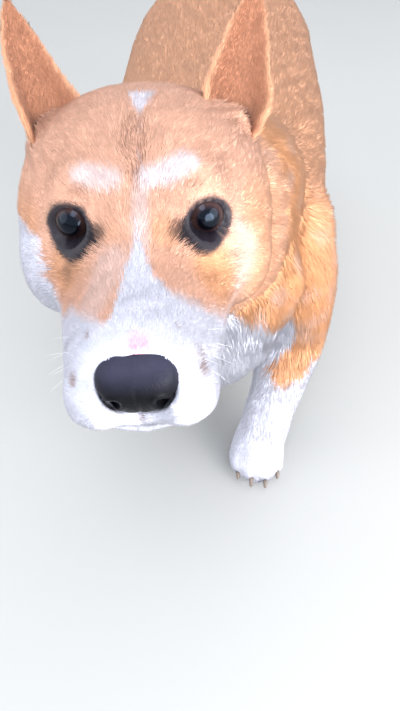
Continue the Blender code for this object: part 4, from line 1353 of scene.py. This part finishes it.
def makeClaws():
    nodes = [name for name in frame["nodes"] if name.startswith("claw")]
    twins = [twinOf(name) for name in nodes]
    for twin in twins:
        spots = pointsOf(twin.data)
        top = spots[spots[:, 2] > spots[:, 2].max() - clawSet["top"]].mean(0)
        movePoints(twin.data, top + (spots - top) * clawSet["share"])
    claws = joined("claws", twins[::-1])
    inEditMode(mergeDoubles, claws)
    modified(claws, "SUBSURF", levels=2, render_levels=2)
    movePoints(claws.data, pointsOf(claws.data) + normalsOf(claws.data) * clawSet["grow"])
    claws.data.shade_smooth()
    claws.data.materials.append(makeClawLook())
    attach(claws, "root")
    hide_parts(*nodes)


makeClaws()


# the whiskers: fine tapered hairs on the muzzle and over the eyes, each with its root, its way and its length

whiskerSet = {"sides": 5, "steps": 9, "thick": 0.00006, "sag": 0.10, "sunk": 0.001,
              "pale": (0.80, 0.78, 0.80),
              "dark": (0.05, 0.03, 0.03)}
muzzleWhiskers = [((0.0215 + 0.0018 * (i % 2), -0.0630 + 0.0075 * (i % 3), -0.0250 - 0.0060 * (i // 3)),
                   (0.80, -0.20 + 0.30 * (i % 3), -0.20 - 0.30 * (i // 3)), 0.009 + 0.002 * (i % 3))
                  for i in range(6)]
browWhiskers = [((0.0205 + 0.0030 * i, 0.0000, 0.0150), (0.15 + 0.15 * i, -0.15, 0.85), 0.009 + 0.002 * i)
                for i in range(3)]


def whiskerRings(root, ahead, length):
    # the rings of a tapered hair that sags towards its tip
    around = np.linspace(0, 2 * math.pi, whiskerSet["sides"], endpoint=False)[:, None]
    share = np.linspace(0, 1, whiskerSet["steps"])[:, None]
    line = root - ahead * whiskerSet["sunk"] + ahead * length * share
    line = line - np.array((0, 0, 1)) * length * whiskerSet["sag"] * share ** 2
    first = unit(np.cross(ahead, (0.1, 0.2, 1)))
    ring = np.cos(around) * first + np.sin(around) * np.cross(ahead, first)
    return line[:, None] + (whiskerSet["thick"] * (1 - share ** 1.5 * 0.95))[..., None] * ring


def makeWhiskers():
    material, tree, shader = makeMaterial("whisker", Roughness=0.45)
    pale, dark = colour(whiskerSet["pale"]), colour(whiskerSet["dark"])
    tree.links.new(blended(tree, attribute(tree, "tone", "Fac"), pale, dark), shader["Base Color"])
    steps, sides = whiskerSet["steps"], whiskerSet["sides"]
    fan = np.array([(0, i, i + 1) for i in range(1, sides - 1)])
    tube = np.concatenate([gridFaces(steps, sides, wrapColumns=True), fan[:, ::-1],
                           fan + (steps - 1) * sides])
    points, faces, tones = [], [], []
    for hairs, shade in ((muzzleWhiskers, 0.0), (browWhiskers, 1.0)):
        for side in (1, -1):
            for start, way, length in hairs:
                flip = np.array((side, 1, 1))
                root = np.array(skinTree.find_nearest(Vector(fromHead(np.array(start) * flip)))[0])
                ahead = headWay(unit(np.array(way) * flip + rng.normal(0, 0.06, 3)))
                rings = whiskerRings(root, ahead, length * rng.uniform(0.85, 1.15)).reshape(-1, 3)
                faces.append(outward(rings - root, tube) + len(points) * steps * sides)
                points.append(rings)
                tones.append(np.full(steps * sides, shade))
    mesh = meshFrom("whiskers", np.concatenate(points), np.concatenate(faces))
    setValues(mesh, "tone", np.concatenate(tones))
    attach(pieceFrom(mesh, material), "root")


makeWhiskers()
report("claws and whiskers made")


# the studio: a plain pale floor and soft light

floorSet = {"size": 12, "dark": (0.40, 0.40, 0.39), "pale": (0.43, 0.43, 0.42)}
lights = {
    "sky": {"at": (0.2, 0.3, 2.3), "size": 2.4, "watts": 20, "colour": (0.97, 0.98, 1.0)},
    "window": {"at": (-0.14, -1.0, 1.60), "size": 0.80, "watts": 10, "colour": (0.82, 0.90, 1.0)},
    "front": {"at": (1.35, -0.85, 0.60), "size": 1.5, "watts": 24, "colour": (1.0, 0.98, 0.97)},
    "low": {"at": (0.75, -1.20, 0.30), "size": 0.9, "watts": 22, "colour": (0.97, 0.98, 1.0)},
    "right": {"at": (-1.30, -0.70, 0.70), "size": 1.4, "watts": 9, "colour": (0.97, 0.98, 1.0)},
}
room = {"colour": (0.90, 0.94, 1.0), "strength": 1.35}


def makeFloor():
    material, tree, shader = makeMaterial("floor", Roughness=0.8, Specular_IOR_Level=0.2)
    drift = noise(tree, objectPlace(tree), 3.0, 2.0)
    tree.links.new(blended(tree, drift, colour(floorSet["dark"]), colour(floorSet["pale"])),
                   shader["Base Color"])
    bpy.ops.object.select_all(action="DESELECT")
    bpy.ops.mesh.primitive_plane_add(size=floorSet["size"])
    floor = bpy.context.object
    floor.name = "floor"
    floor.data.materials.append(material)


def makeLights():
    for name, light in lights.items():
        way = Vector(head["at"]) + shift - Vector(light["at"])
        bpy.ops.object.light_add(type="AREA", location=light["at"],
                                 rotation=way.to_track_quat("-Z", "Y").to_euler())
        lamp = bpy.context.object
        lamp.name = name
        lamp.data.shape = "DISK"
        lamp.data.size = light["size"]
        lamp.data.energy = light["watts"]
        lamp.data.color = light["colour"]
    world = bpy.data.worlds.new("room")
    bpy.context.scene.world = world
    world.use_nodes = True
    world.node_tree.nodes["Background"].inputs["Color"].default_value = colour(room["colour"])
    world.node_tree.nodes["Background"].inputs["Strength"].default_value = room["strength"]
    bpy.context.scene.view_settings.view_transform = "Standard"


makeFloor()
makeLights()
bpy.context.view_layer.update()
report("all made")
